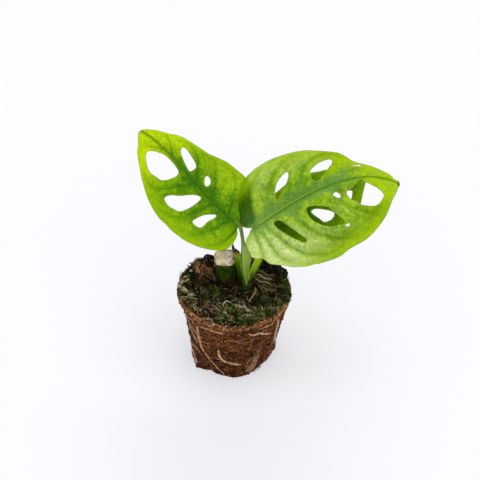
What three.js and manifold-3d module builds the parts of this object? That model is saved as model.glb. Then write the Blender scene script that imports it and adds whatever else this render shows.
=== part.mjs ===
// Young mint monstera adansonii with its bare root plug.
// Millimetres, +Z up. The origin is the centre of the plug's flat underside;
// the plant faces -Y, its two large leaves reach out to -X and +X.
import * as THREE from 'three';
import { mergeVertices } from 'three/addons/utils/BufferGeometryUtils.js';
import Module from 'manifold-3d';

// ---------------------------------------------------------------- dimensions
const GAP = 0.3;                  // clearance kept between pieces that touch
const PLUG_TOP = 41.5;            // height of the fibre plug's top face
const MOSS_LEVEL = 43.7;          // mean height of the mossy soil surface
const MOSS_RADIUS = 29.3;         // radius of the mossy soil layer
const BLADE_THICKNESS = 0.6;      // leaf blade
const STUMP_RADIUS = 4.9;         // old vine cutting
const CALLUS_RADIUS = 5.5;        // dried, swollen cut end of the cutting
const STUMP_TOP = 58.4;
const SHOOT_RADIUS = 3.4;         // short green base of the new shoot
const SHOOT_TOP = 46.6;
const ROOT_RADIUS = 0.65;         // roots that run over the plug
const WALL_SEGMENTS = 48;

// Plug wall: radius against height (the inside shape of a small nursery pot).
const WALL_Z = [0, 6, 12, 20, 26, 32, 36, 39, 41.5, 43.6];
const WALL_R = [22.2, 22.5, 23.3, 24.5, 25.4, 26.8, 27.5, 28.3, 29.3, 30.0];
// Foot of the plug: worn and chipped, so its radius changes with the angle.
const FOOT_ANGLE = [-180, -168, -145, -126, -108, -101, -85, -73, -66, -43, -24, -6, 4, 30, 60, 90, 120, 150, 180];
const FOOT_R = [22.6, 22.5, 24.0, 19.9, 20.6, 21.1, 21.8, 21.2, 20.2, 18.0, 19.0, 19.8, 22.8, 22.6, 21.4, 22.4, 21.5, 22.4, 22.6];

// Leaves. midrib: cubic coefficients of x, y, z against the distance u from
// the leaf base. face: side tilt, elevation of the upper face at the base and
// its change per mm, then the curvature (1/mm) across the blade on either side
// of the midrib and its change per mm. margin and holes: (u, v) on the blade,
// v being the distance from the midrib measured along the surface.
const LEAF_LEFT = {
  midrib: [[3.57891, -0.817574, 0.00448925, -4.01349e-05], [3.19742, 0.400859, 0.00551453, -4.20505e-05], [83.3876, 0.445793, 0.000617819, -1.74499e-05]],
  face: [0.1, 60, 0, 0.008, 0, 0.008, 0],
  length: 73.9,
  margin: [[0.05, 0.29], [0.14, 2.40], [-1.26, 4.27], [-1.77, 5.83], [-2.12, 10.72], [-1.30, 14.31], [0.46, 16.87], [4.53, 20.07], [6.73, 21.50], [10.39, 23.25], [14.41, 24.70], [19.30, 25.63], [22.65, 26.01], [25.11, 25.87], [28.68, 26.30], [34.26, 25.82], [40.65, 24.24], [45.14, 22.60], [54.01, 18.47], [66.21, 10.78], [68.85, 7.51], [73.15, 2.48], [74.01, 0.22], [72.93, -1.77], [70.59, -3.73], [66.73, -6.18], [61.27, -9.08], [59.35, -10.68], [56.23, -12.49], [48.83, -14.46], [41.25, -16.62], [31.89, -21.13], [22.61, -22.71], [17.53, -22.94], [12.17, -21.80], [6.13, -17.69], [1.79, -11.07], [-0.03, -4.59]],
  holes: {
    L1: [[62.15, 6.80], [61.30, 5.49], [60.05, 4.50], [54.32, 1.97], [49.16, 1.68], [45.42, 1.96], [42.39, 2.75], [41.34, 4.15], [41.16, 5.69], [43.36, 11.19], [45.47, 12.79], [47.71, 13.12], [49.99, 13.84], [53.03, 13.61], [57.18, 11.88], [61.53, 8.61]],
    L2: [[35.59, 15.25], [34.66, 13.72], [31.77, 10.89], [29.82, 7.93], [26.95, 4.41], [25.18, 3.28], [23.97, 3.43], [23.75, 10.03], [25.25, 15.38], [25.76, 16.24], [29.61, 18.08], [31.38, 18.51], [32.93, 18.49], [34.57, 18.15], [35.55, 17.59], [35.96, 16.59]],
    L3: [[51.59, -7.87], [51.42, -8.55], [50.06, -8.88], [44.76, -8.13], [39.91, -6.87], [38.68, -5.63], [38.42, -3.34], [38.97, -2.06], [43.67, -2.93], [49.84, -5.38], [51.11, -6.60]],
    L4: [[16.80, 9.05], [15.58, 6.98], [12.85, 4.09], [12.35, 4.19], [12.07, 4.95], [13.11, 9.52], [13.14, 13.27], [13.77, 14.72], [14.83, 15.17], [16.96, 15.37], [17.99, 15.04]],
    L5: [[31.55, -6.44], [31.20, -7.37], [30.70, -7.63], [28.23, -6.96], [26.82, -5.06], [26.82, -3.62], [27.64, -2.96], [28.34, -3.16], [30.96, -5.34]],
  },
};
const LEAF_RIGHT = {
  midrib: [[10.3878, 0.738124, 0.00379406, -2.40754e-05], [-1.87637, 0.15729, 0.00187557, -1.24778e-05], [86.0144, 0.519866, 0.00177215, -7.2228e-05]],
  face: [0.02, 60, 0.17, 0.011, 0, 0.016, 0],
  length: 84.0,
  margin: [[-1.45, 0.34], [-2.88, -0.03], [-4.14, -1.05], [-8.22, -3.23], [-9.60, -6.14], [-10.07, -9.82], [-10.32, -12.07], [-8.75, -13.63], [-5.06, -15.85], [-3.59, -19.62], [-1.31, -21.72], [3.22, -25.07], [4.62, -26.74], [7.24, -28.56], [12.49, -31.30], [17.41, -32.75], [19.46, -33.61], [28.97, -35.61], [33.17, -35.64], [39.61, -34.60], [52.97, -33.21], [59.49, -31.21], [64.94, -28.69], [71.88, -23.24], [75.23, -18.59], [79.20, -10.41], [80.96, -7.43], [82.68, -3.01], [84.21, -0.28], [83.54, 1.73], [81.05, 1.60], [78.37, 3.55], [74.93, 4.80], [66.52, 7.70], [59.63, 11.01], [57.16, 14.66], [54.50, 17.45], [51.56, 19.21], [44.01, 23.59], [40.18, 25.63], [36.60, 26.96], [32.94, 28.13], [25.73, 29.79], [20.59, 29.63], [16.36, 29.44], [12.22, 28.38], [9.11, 27.37], [4.32, 23.63], [0.79, 20.49], [-2.40, 17.15], [-4.95, 12.81], [-6.49, 8.00], [-6.20, 5.04], [-4.42, 2.78]],
  holes: {
    RA: [[27.33, 17.23], [28.39, 16.85], [27.80, 14.55], [25.93, 11.88], [24.16, 10.56], [22.76, 9.41], [21.35, 8.29], [19.41, 6.97], [17.92, 6.27], [17.79, 8.09], [18.12, 9.48], [19.50, 11.81], [20.84, 13.53], [24.35, 16.10]],
    RB: [[47.83, 14.61], [49.44, 14.17], [49.76, 13.13], [49.10, 11.30], [46.84, 9.48], [45.75, 8.42], [43.09, 6.93], [41.21, 5.57], [39.77, 4.44], [38.25, 4.86], [37.35, 6.57], [37.60, 8.92], [37.74, 10.78], [39.23, 12.53], [40.54, 13.33], [43.98, 14.44]],
    RC: [[10.47, -3.86], [12.22, -3.61], [13.98, -4.76], [14.86, -6.72], [17.34, -12.39], [19.35, -16.96], [20.60, -20.03], [20.35, -20.69], [18.63, -20.55], [16.00, -17.26], [13.46, -12.97], [11.28, -8.54], [10.35, -5.47]],
    RD: [[28.43, -6.22], [30.23, -6.26], [33.44, -7.68], [37.23, -9.95], [39.41, -12.27], [40.48, -14.96], [42.59, -18.65], [43.77, -20.65], [42.82, -21.81], [39.51, -21.20], [35.30, -20.32], [32.68, -18.73], [29.85, -15.70], [28.12, -12.75], [27.53, -9.46]],
    RE: [[60.53, -1.60], [58.88, -2.28], [56.96, -3.62], [55.04, -5.04], [53.06, -6.06], [51.26, -6.37], [50.40, -7.78], [50.84, -9.67], [51.52, -11.14], [53.28, -12.20], [54.68, -13.55], [56.28, -15.10], [59.44, -16.11], [65.71, -16.63], [69.53, -14.47], [72.15, -10.62], [71.34, -8.99], [68.66, -6.86], [65.80, -5.17], [62.92, -3.50], [61.52, -2.43]],
    RF: [[43.48, -5.68], [44.71, -5.13], [46.14, -5.28], [46.77, -6.51], [47.07, -7.88], [46.31, -8.63], [45.18, -8.33], [44.18, -7.36]],
    RG: [[43.15, -22.73], [44.37, -22.62], [45.77, -22.43], [45.60, -23.65], [44.18, -23.83]],
    RH: [[58.00, 7.32], [59.41, 7.69], [61.02, 7.82], [62.76, 7.67], [63.04, 6.98], [62.23, 6.67], [60.81, 7.20], [59.24, 7.11]],
  },
};
const LEAF_BACK = {
  midrib: [[14.6946, 0.787415, 0.000690993, 6.3999e-06], [7.00913, 0.312369, -0.000441579, 3.62233e-06], [72.0475, 0.515398, 0.000381725, -3.38952e-05]],
  face: [0.05, 60, 0, 0.012, 0, 0.012, 0],
  length: 63.5,
  margin: [[-1.77, -0.64], [-2.48, -3.39], [-1.40, -6.36], [1.53, -9.45], [7.08, -13.40], [12.83, -16.22], [20.81, -18.77], [30.10, -19.59], [36.29, -19.15], [41.74, -17.71], [47.32, -15.82], [50.98, -14.26], [53.88, -12.31], [58.37, -6.61], [61.22, -2.72], [63.91, 0.15], [59.84, 4.39], [54.54, 8.47], [50.29, 11.08], [45.67, 12.89], [42.97, 13.57], [38.71, 15.31], [32.48, 16.72], [24.64, 17.11], [21.75, 16.79], [18.83, 16.39], [12.97, 15.24], [7.61, 12.61], [3.41, 9.09], [0.82, 5.02]],
  holes: {
    T1: [[30.27, -3.17], [31.89, -3.71], [34.58, -5.80], [37.09, -7.94], [38.67, -10.04], [38.41, -11.09], [35.77, -12.44], [33.67, -12.26], [31.81, -11.71], [30.21, -8.16], [28.86, -4.64], [28.88, -3.34]],
    T2: [[50.01, -2.61], [51.39, -3.32], [52.77, -4.31], [51.74, -6.20], [50.45, -7.84], [48.72, -9.22], [47.40, -8.30], [47.82, -5.55], [48.92, -3.40]],
    T3: [[42.30, -0.85], [43.60, -0.72], [44.90, -0.95], [45.88, -2.17], [46.25, -3.93], [45.14, -5.70], [42.92, -6.04], [41.63, -3.52], [41.50, -1.90]],
  },
};

// Roots over the plug wall: [angle in degrees, height] along the root, the
// root's radius and how far it is lifted off the wall.
const WALL_ROOTS = {
  root_front_left_long: { r: 0.75, lift: 0, path: [[-132.5, 35.8], [-135.4, 27], [-134.8, 22.5], [-132.5, 18], [-127.5, 14.6], [-119.5, 10.6], [-110.5, 5.6], [-103, 2.6]] },
  root_left_rim: { r: 0.5, lift: 0, path: [[-161, 36.5], [-152, 37.4], [-143, 38.2], [-136, 38.9]] },
  root_front_upper: { r: 0.5, lift: 0, path: [[-129.5, 36.6], [-120.5, 37.9], [-109.2, 38.0], [-99, 37.4]] },
  root_left_branch: { r: 0.5, lift: 0, path: [[-154.5, 30.2], [-150.5, 26.2], [-144.5, 23.2], [-139.8, 20.4]] },
  root_left_lower: { r: 0.55, lift: 0, path: [[-166, 10.6], [-157, 12.9], [-148, 14.3], [-139.5, 13.6]] },
  root_left_foot: { r: 0.6, lift: 0, path: [[-162.5, 8.6], [-156, 6], [-150, 3.8], [-144.5, 1.9]] },
  root_front_hook: { r: 0.7, lift: 0, path: [[-108.6, 22.6], [-107.4, 17.8], [-101.4, 13.9], [-92, 12.6], [-79.5, 11.2]] },
  root_front_right_wave: { r: 0.6, lift: 0, path: [[-74, 36.6], [-68.3, 34.6], [-62.3, 34.9], [-54, 32.6], [-42.5, 28.8]] },
  root_right_edge: { r: 0.8, lift: 0, path: [[-36.4, 38.2], [-33.4, 31], [-31.0, 24], [-27, 15.5]] },
  root_right_lower: { r: 0.8, lift: 0, path: [[-53, 24.5], [-57.9, 17.9], [-60.1, 10.5], [-64.5, 5.0]] },
  root_right_upper: { r: 0.45, lift: 0, path: [[-64, 38.4], [-57.7, 38.7], [-50, 38.4], [-41.5, 37.9]] },
  root_back_right: { r: 0.7, lift: 0, path: [[12, 37], [18, 29], [27, 22], [33, 13], [31, 4.5]] },
  root_back_ring: { r: 0.6, lift: 0, path: [[48, 9], [62, 7.4], [78, 8.6], [94, 7.2], [110, 8.8], [126, 7.6]] },
  root_back_middle: { r: 0.75, lift: 0, path: [[66, 37.5], [72, 31], [70, 24], [78, 17.5], [86, 12.4]] },
  root_back_left: { r: 0.65, lift: 0, path: [[118, 38], [112, 30], [118, 22.5], [128, 16.5], [134, 12]] },
  root_back_fork: { r: 0.45, lift: 0, path: [[100, 34], [94, 28], [95, 21.5], [102, 16]] },
  root_left_back_long: { r: 0.7, lift: 0, path: [[148, 37.8], [156, 30], [154, 22], [163, 14], [171, 6]] },
  root_left_back_cross: { r: 0.45, lift: 0, path: [[176, 34.6], [170, 30.4], [172, 25], [178, 20.4]] },
};

// Petioles: centre line, half-width and half-depth of the section. The front
// and back stalks are round; the lower parts of the left and back ones are
// widened by the sheath that once wrapped the next leaf.
const PETIOLE_LEFT = [
  [6.15, 2.5, 47.0, 1.35, 0.9], [5.95, 2.55, 50, 1.8, 0.9], [5.92, 2.6, 54.6, 2.15, 0.95], [6.22, 2.65, 59.9, 2.5, 0.95],
  [6.45, 2.7, 64.3, 2.7, 0.9], [5.95, 2.8, 68.4, 2.0, 0.9], [5.06, 2.88, 72.4, 1.05, 0.9], [4.34, 2.94, 77.5, 0.88, 0.85], [3.8, 2.9, 81.2, 0.78, 0.75],
];
const PETIOLE_BACK = [
  [8.35, 4.45, 47.0, 1.1, 0.9], [9.15, 4.55, 49.2, 1.5, 0.95], [10.1, 4.75, 52.2, 1.9, 1.0], [11.7, 5.1, 56.0, 2.0, 1.0],
  [13.35, 5.6, 60.2, 2.0, 1.0], [14.3, 6.2, 64.6, 1.5, 0.95], [14.6, 6.75, 67.6, 1.0, 0.9], [14.5, 7.0, 69.8, 0.8, 0.78],
];
const PETIOLE_FRONT = [
  [5.9, 5.6, 47.0, 0.85, 0.8], [6.9, 6.0, 56, 0.9, 0.85], [8.2, 5.9, 66, 0.9, 0.85], [9.5, 4.6, 74, 0.9, 0.85], [10.2, 1.8, 80.2, 0.9, 0.85], [10.3, -0.6, 83.6, 0.85, 0.8],
];

// ------------------------------------------------------------------ helpers
const clamp = (x, a, b) => Math.min(b, Math.max(a, x));
const rad = (d) => (d * Math.PI) / 180;
const V = (x, y, z) => new THREE.Vector3(x, y, z);

function interp(x, xs, ys) {
  if (x <= xs[0]) return ys[0];
  for (let i = 1; i < xs.length; i++) {
    if (x <= xs[i]) return ys[i - 1] + ((ys[i] - ys[i - 1]) * (x - xs[i - 1])) / (xs[i] - xs[i - 1]);
  }
  return ys[ys.length - 1];
}

function hash(a, b = 0) {
  const s = Math.sin(a * 127.1 + b * 311.7) * 43758.5453;
  return s - Math.floor(s);
}

function geometryOf(vertices, triangles) {
  const g = new THREE.BufferGeometry();
  g.setAttribute('position', new THREE.Float32BufferAttribute(vertices.flatMap((p) => [p.x, p.y, p.z]), 3));
  g.setIndex(triangles.flat());
  g.computeVertexNormals();
  return g;
}

// A closed skin over a row of equal rings. Every ring runs anticlockwise when
// seen from the far end of the row.
function loft(rings) {
  const n = rings[0].length;
  const vertices = rings.flat();
  const triangles = [];
  for (let k = 0; k + 1 < rings.length; k++) {
    for (let i = 0; i < n; i++) {
      const j = (i + 1) % n;
      const a = k * n + i, b = k * n + j, c = a + n, d = b + n;
      triangles.push([a, b, d], [a, d, c]);
    }
  }
  const mean = (ring) => ring.reduce((s, p) => s.add(p), V(0, 0, 0)).multiplyScalar(1 / n);
  const first = vertices.length;
  vertices.push(mean(rings[0]), mean(rings[rings.length - 1]));
  const last = (rings.length - 1) * n;
  for (let i = 0; i < n; i++) {
    const j = (i + 1) % n;
    triangles.push([first, j, i], [first + 1, last + i, last + j]);
  }
  return geometryOf(vertices, triangles);
}

// Rings of an elliptic section along a smooth curve. wide is the direction of
// the section's half-width, kept as square to the curve as it can be.
function sections(stations, sides, wide, steps) {
  const curve = new THREE.CatmullRomCurve3(stations.map((s) => V(s[0], s[1], s[2])), false, 'centripetal');
  const rings = [];
  for (let k = 0; k <= steps; k++) {
    const t = k / steps;
    const p = curve.getPoint(t);
    const d = curve.getTangent(t);
    const f = t * (stations.length - 1);
    const i = Math.min(stations.length - 2, Math.floor(f));
    const a = THREE.MathUtils.lerp(stations[i][3], stations[i + 1][3], f - i);
    const b = THREE.MathUtils.lerp(stations[i][4], stations[i + 1][4], f - i);
    const e1 = wide.clone().addScaledVector(d, -wide.dot(d)).normalize();
    const e2 = new THREE.Vector3().crossVectors(d, e1);
    rings.push(Array.from({ length: sides }, (_, s) => {
      const q = (2 * Math.PI * s) / sides;
      return p.clone().addScaledVector(e1, a * Math.cos(q)).addScaledVector(e2, b * Math.sin(q));
    }));
  }
  return rings;
}

const stalk = (stations, steps, sides = 10) => loft(sections(stations, sides, V(1, 0, 0), steps));

// A thin round root or dry strand through the given points, tapered at its ends.
function strand(points, radius, sides = 6, step = 2.6) {
  const curve = new THREE.CatmullRomCurve3(points, false, 'centripetal');
  const steps = Math.max(3, Math.round(curve.getLength() / step));
  const frames = curve.computeFrenetFrames(steps, false);
  const rings = [];
  for (let k = 0; k <= steps; k++) {
    const p = curve.getPointAt(k / steps);
    const end = Math.min(k, steps - k);
    const r = radius * (end === 0 ? 0.45 : end === 1 ? 0.85 : 1);
    rings.push(Array.from({ length: sides }, (_, s) => {
      const q = (2 * Math.PI * s) / sides;
      return p.clone().addScaledVector(frames.normals[k], r * Math.cos(q)).addScaledVector(frames.binormals[k], r * Math.sin(q));
    }));
  }
  return loft(rings);
}

// A lump: an icosahedron pulled into a box of the given half-sizes with an
// uneven surface.
function lump(centre, half, turn, seed, detail = 1) {
  const g = mergeVertices(bare(new THREE.IcosahedronGeometry(1, detail)));
  const p = g.getAttribute('position');
  for (let i = 0; i < p.count; i++) {
    const v = V(p.getX(i), p.getY(i), p.getZ(i));
    const s = 0.86 + 0.28 * hash(i + 1, seed);
    v.multiplyScalar(s).multiply(half).applyAxisAngle(V(0, 0, 1), rad(turn)).add(centre);
    p.setXYZ(i, v.x, v.y, v.z);
  }
  g.computeVertexNormals();
  return g;
}

function bare(g) {
  const out = g.clone();
  for (const name of Object.keys(out.attributes)) if (name !== 'position') out.deleteAttribute(name);
  return out;
}

// Solids that are cut by others.
const wasm = await Module();
wasm.setup();
function solid(g) {
  const m = mergeVertices(bare(g), 1e-4);
  return new wasm.Manifold(new wasm.Mesh({
    numProp: 3,
    vertProperties: new Float32Array(m.getAttribute('position').array),
    triVerts: new Uint32Array(m.getIndex().array),
  }));
}
function surfaceOf(s) {
  const m = s.getMesh();
  const g = new THREE.BufferGeometry();
  const n = m.vertProperties.length / m.numProp;
  const position = new Float32Array(n * 3);
  for (let i = 0; i < n; i++) for (let k = 0; k < 3; k++) position[3 * i + k] = m.vertProperties[i * m.numProp + k];
  g.setAttribute('position', new THREE.BufferAttribute(position, 3));
  g.setIndex(new THREE.BufferAttribute(new Uint32Array(m.triVerts), 1));
  g.computeVertexNormals();
  return g;
}

// --------------------------------------------------------------- leaf blade
// A point of the blade at (u, v), lifted w along the blade's normal.
function bladePoint(leaf, u, v, w) {
  const [nx, e0, e1, kp0, kp1, kn0, kn1] = leaf.face;
  const M = V(...leaf.midrib.map((c) => c[0] + u * (c[1] + u * (c[2] + u * c[3]))));
  const T = V(...leaf.midrib.map((c) => c[1] + u * (2 * c[2] + u * 3 * c[3]))).normalize();
  const e = rad(e0 + e1 * u);
  const N = V(nx, -Math.cos(e), Math.sin(e));
  N.addScaledVector(T, -N.dot(T)).normalize();
  const L = new THREE.Vector3().crossVectors(N, T);
  const k = v > 0 ? kp0 + kp1 * Math.max(u, 0) : kn0 + kn1 * Math.max(u, 0);
  const a = k * v;
  const n = N.clone().multiplyScalar(Math.cos(a)).addScaledVector(L, Math.sin(a));
  return M.addScaledVector(L, Math.sin(a) / k).addScaledVector(N, -Math.abs((1 - Math.cos(a)) / k)).addScaledVector(n, w);
}

function smoothLoop(points, step) {
  const curve = new THREE.CatmullRomCurve3(points.map(([u, v]) => V(u, v, 0)), true, 'centripetal');
  const n = Math.max(7, Math.round(curve.getLength() / step));
  return curve.getSpacedPoints(n).slice(0, n).map((p) => [p.x, p.y]);
}

function inside(loop, x, y) {
  let odd = false;
  for (let i = 0, j = loop.length - 1; i < loop.length; j = i++) {
    const [xi, yi] = loop[i], [xj, yj] = loop[j];
    if (yi > y !== yj > y && x < ((xj - xi) * (y - yi)) / (yj - yi) + xi) odd = !odd;
  }
  return odd;
}

function distanceTo(loop, x, y) {
  let best = Infinity;
  for (let i = 0; i < loop.length; i++) {
    const [ax, ay] = loop[i], [bx, by] = loop[(i + 1) % loop.length];
    const t = clamp(((x - ax) * (bx - ax) + (y - ay) * (by - ay)) / ((bx - ax) ** 2 + (by - ay) ** 2 || 1), 0, 1);
    best = Math.min(best, Math.hypot(x - ax - t * (bx - ax), y - ay - t * (by - ay)));
  }
  return best;
}

// Delaunay triangles of the points, by adding one point at a time.
function delaunay(points) {
  const n = points.length;
  const all = [...points, [-5000, -5000], [5000, -5000], [0, 5000]];
  const ring = (a, b, c) => {
    const [ax, ay] = all[a], [bx, by] = all[b], [cx, cy] = all[c];
    const d = 2 * (ax * (by - cy) + bx * (cy - ay) + cx * (ay - by));
    const ux = ((ax * ax + ay * ay) * (by - cy) + (bx * bx + by * by) * (cy - ay) + (cx * cx + cy * cy) * (ay - by)) / d;
    const uy = ((ax * ax + ay * ay) * (cx - bx) + (bx * bx + by * by) * (ax - cx) + (cx * cx + cy * cy) * (bx - ax)) / d;
    return { t: [a, b, c], x: ux, y: uy, r: (ax - ux) ** 2 + (ay - uy) ** 2 };
  };
  let list = [ring(n, n + 1, n + 2)];
  for (let p = 0; p < n; p++) {
    const [x, y] = all[p];
    const edges = new Map();
    const keep = [];
    for (const c of list) {
      if ((x - c.x) ** 2 + (y - c.y) ** 2 < c.r) {
        for (let k = 0; k < 3; k++) {
          const a = c.t[k], b = c.t[(k + 1) % 3];
          const back = `${b},${a}`;
          if (edges.has(back)) edges.delete(back);
          else edges.set(`${a},${b}`, [a, b]);
        }
      } else keep.push(c);
    }
    for (const [a, b] of edges.values()) keep.push(ring(a, b, p));
    list = keep;
  }
  return list.map((c) => c.t).filter((t) => t.every((i) => i < n));
}

// The blade: triangles over the outline less its holes, given a thickness
// along the surface normal and walled along every free edge.
function blade(leaf, edgeStep = 2.6, gridStep = 5.2) {
  const margin = smoothLoop(leaf.margin, edgeStep);
  const holes = Object.values(leaf.holes).map((h) => smoothLoop(h, 1.9));
  const loops = [margin, ...holes];
  const points = loops.flat().map(([u, v], i) => [u + 1e-5 * hash(i, 3), v + 1e-5 * hash(i, 4)]);
  const us = margin.map((p) => p[0]), vs = margin.map((p) => p[1]);
  let row = 0;
  for (let v = Math.min(...vs); v < Math.max(...vs); v += gridStep * 0.87, row++) {
    for (let u = Math.min(...us) + (row % 2) * gridStep * 0.5; u < Math.max(...us); u += gridStep) {
      const x = u + 0.2 * (hash(u, v) - 0.5), y = v + 0.2 * (hash(v, u) - 0.5);
      if (inside(margin, x, y) && !holes.some((h) => inside(h, x, y)) && Math.min(...loops.map((l) => distanceTo(l, x, y))) > 2.0) points.push([x, y]);
    }
  }
  const faces = delaunay(points).filter(([a, b, c]) => {
    const x = (points[a][0] + points[b][0] + points[c][0]) / 3, y = (points[a][1] + points[b][1] + points[c][1]) / 3;
    return inside(margin, x, y) && !holes.some((h) => inside(h, x, y));
  }).map(([a, b, c]) => {
    const s = (points[b][0] - points[a][0]) * (points[c][1] - points[a][1]) - (points[c][0] - points[a][0]) * (points[b][1] - points[a][1]);
    return s > 0 ? [a, b, c] : [a, c, b];
  });
  const n = points.length;
  const vertices = [];
  for (const side of [0.5, -0.5]) for (const [u, v] of points) vertices.push(bladePoint(leaf, u, v, side * BLADE_THICKNESS));
  const triangles = [];
  const edges = new Map();
  for (const [a, b, c] of faces) {
    triangles.push([a, b, c], [a + n, c + n, b + n]);
    for (const [p, q] of [[a, b], [b, c], [c, a]]) {
      if (edges.has(`${q},${p}`)) edges.delete(`${q},${p}`);
      else edges.set(`${p},${q}`, [p, q]);
    }
  }
  for (const [p, q] of edges.values()) triangles.push([p, p + n, q + n], [p, q + n, q]);
  return geometryOf(vertices, triangles);
}

// ---------------------------------------------------------------- root plug
function wallRadius(angle, z) {
  const degrees = ((((angle * 180) / Math.PI + 180) % 360) + 360) % 360 - 180;
  const side = 0.6 * Math.cos(angle) * clamp((z - 20) / 10, 0, 1) * clamp((46 - z) / 6, 0, 1);
  return interp(z, WALL_Z, WALL_R) + (interp(degrees, FOOT_ANGLE, FOOT_R) - FOOT_R_MEAN) * Math.exp(-z / 5) + side;
}
const FOOT_R_MEAN = 22.2;

function turned(heights, radiusAt, segments) {
  return loft(heights.map((z) => Array.from({ length: segments }, (_, i) => {
    const a = (2 * Math.PI * i) / segments;
    const r = radiusAt(a, z);
    return V(r * Math.cos(a), r * Math.sin(a), z);
  })));
}

// The soil layer: flat below, with an uneven mossy top.
function mossHeight(x, y) {
  const r = Math.hypot(x, y);
  let h = MOSS_LEVEL + 0.55 * Math.sin(0.42 * x + 0.8) * Math.cos(0.37 * y - 0.4) + 0.35 * Math.sin(0.95 * x - 0.6 * y);
  h += 0.9 * Math.exp(-((x + 15) ** 2 + (y - 14) ** 2) / 90);
  h += 0.5 * Math.exp(-((x - 16) ** 2 + (y - 12) ** 2) / 80);
  h -= 0.7 * Math.exp(-((x - 2) ** 2 + (y + 1) ** 2) / 40);
  return h - 0.7 * clamp((r - 24) / 5, 0, 1) ** 2;
}
function mossLayer() {
  const segments = 44, rows = 7;
  const bottom = PLUG_TOP + GAP;
  const vertices = [V(0, 0, bottom), V(0, 0, mossHeight(0, 0))];
  const triangles = [];
  const ring = (r, zAt) => {
    const start = vertices.length;
    for (let i = 0; i < segments; i++) {
      const a = (2 * Math.PI * i) / segments;
      const x = r * Math.cos(a), y = r * Math.sin(a);
      vertices.push(V(x, y, zAt(x, y)));
    }
    return start;
  };
  const low = ring(MOSS_RADIUS - 0.5, () => bottom);
  const rim = ring(MOSS_RADIUS, () => bottom + 0.7);
  const tops = Array.from({ length: rows }, (_, k) => ring((MOSS_RADIUS - 0.4) * (1 - k / rows), mossHeight));
  const rings = [low, rim, ...tops];
  for (let k = 0; k + 1 < rings.length; k++) {
    for (let i = 0; i < segments; i++) {
      const j = (i + 1) % segments;
      const a = rings[k] + i, b = rings[k] + j, c = rings[k + 1] + i, d = rings[k + 1] + j;
      triangles.push([a, b, d], [a, d, c]);
    }
  }
  for (let i = 0; i < segments; i++) {
    const j = (i + 1) % segments;
    triangles.push([0, low + j, low + i], [1, tops[rows - 1] + i, tops[rows - 1] + j]);
  }
  return geometryOf(vertices, triangles);
}

// Old cutting: a leaning stump, its cut end dried to a swollen tan callus.
function cutting(extra = 0) {
  const at = (z) => [-4.25 - 0.03 * (z - 44), 10.2 + 0.04 * (z - 44)];
  const rows = [[24, STUMP_RADIUS - 0.5], [34, STUMP_RADIUS], [44, STUMP_RADIUS], [53.4, STUMP_RADIUS], [54.1, CALLUS_RADIUS - 0.1], [56.5, CALLUS_RADIUS], [57.7, CALLUS_RADIUS - 0.5], [STUMP_TOP, CALLUS_RADIUS - 1.9]];
  return loft(rows.map(([z, r]) => Array.from({ length: 18 }, (_, i) => {
    const a = (2 * Math.PI * i) / 18;
    const [x, y] = at(z);
    const bump = 1 + 0.035 * Math.cos(2 * a + 0.6) + 0.02 * Math.cos(3 * a);
    return V(x + (r + extra) * bump * Math.cos(a), y + (r + extra) * bump * Math.sin(a), z === 24 ? z - extra : z);
  })));
}

function shootBase(extra = 0) {
  const rows = [[35, 2.6], [40, 3.0], [44, SHOOT_RADIUS], [SHOOT_TOP, SHOOT_RADIUS]];
  return loft(rows.map(([z, r]) => Array.from({ length: 16 }, (_, i) => {
    const a = (2 * Math.PI * i) / 16;
    return V(6.6 + 1.12 * (r + extra) * Math.cos(a), 4.0 + (r + extra) * Math.sin(a), z === 35 ? z - extra : z);
  })));
}

// Cataphyll: the dry-tipped bract that clasps the stalks from behind and left.
function cataphyll() {
  // height, centre x, y, inner radius, thickness, first and last angle (deg)
  const rows = [
    [46.95, 6.4, 3.9, 3.0, 0.6, 128, 232], [50, 6.1, 3.9, 3.15, 0.7, 126, 236], [54.5, 5.5, 4.0, 3.25, 0.7, 128, 236],
    [59.5, 4.9, 4.2, 3.3, 0.7, 136, 226], [63.5, 4.3, 4.5, 3.4, 0.6, 148, 214], [67.0, 3.6, 4.8, 3.5, 0.45, 164, 194],
  ];
  const n = 9;
  return loft(rows.map(([z, x, y, r, t, a0, a1]) => {
    const ring = [];
    for (let i = 0; i < n; i++) {
      const a = rad(a0 + ((a1 - a0) * i) / (n - 1));
      ring.push(V(x + (r + t) * Math.cos(a), y + (r + t) * Math.sin(a), z));
    }
    for (let i = n - 1; i >= 0; i--) {
      const a = rad(a0 + ((a1 - a0) * i) / (n - 1));
      ring.push(V(x + r * Math.cos(a), y + r * Math.sin(a), z));
    }
    return ring;
  }));
}

// ----------------------------------------------------------------- assembly
const monstera = new THREE.Group();
monstera.name = 'mint_monstera_adansonii';
function add(name, geometry, color, roughness = 0.7) {
  const mesh = new THREE.Mesh(geometry, new THREE.MeshStandardMaterial({ color, roughness, metalness: 0 }));
  mesh.name = name;
  monstera.add(mesh);
  return mesh;
}

const COIR = 0x6b3d22, MOSS = 0x3a4720, GREEN = 0x4f8f24, MINT = 0xa4cc46, DEEP = 0x3c6f12, ROOT = 0xc9a078, STRAW = 0xb59a63;

const barkHalf = V(3.4, 4.2, 1.9), barkAt = V(-17.2, 14.6, 46.0);
const peatHalf = V(6.2, 4.2, 2.2), peatAt = V(19.6, 17.0, 45.4);
const grow = (h, d) => V(h.x + d, h.y + d, h.z + d);

// The fibre plug with the two sockets that the plant grows from.
const plug = solid(turned([0, 3, 6, 12, 20, 26, 32, 36, 39, PLUG_TOP], wallRadius, WALL_SEGMENTS))
  .subtract(solid(cutting(GAP + 0.05)))
  .subtract(solid(shootBase(GAP + 0.05)));
add('root_plug', surfaceOf(plug), COIR, 0.95);

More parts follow.
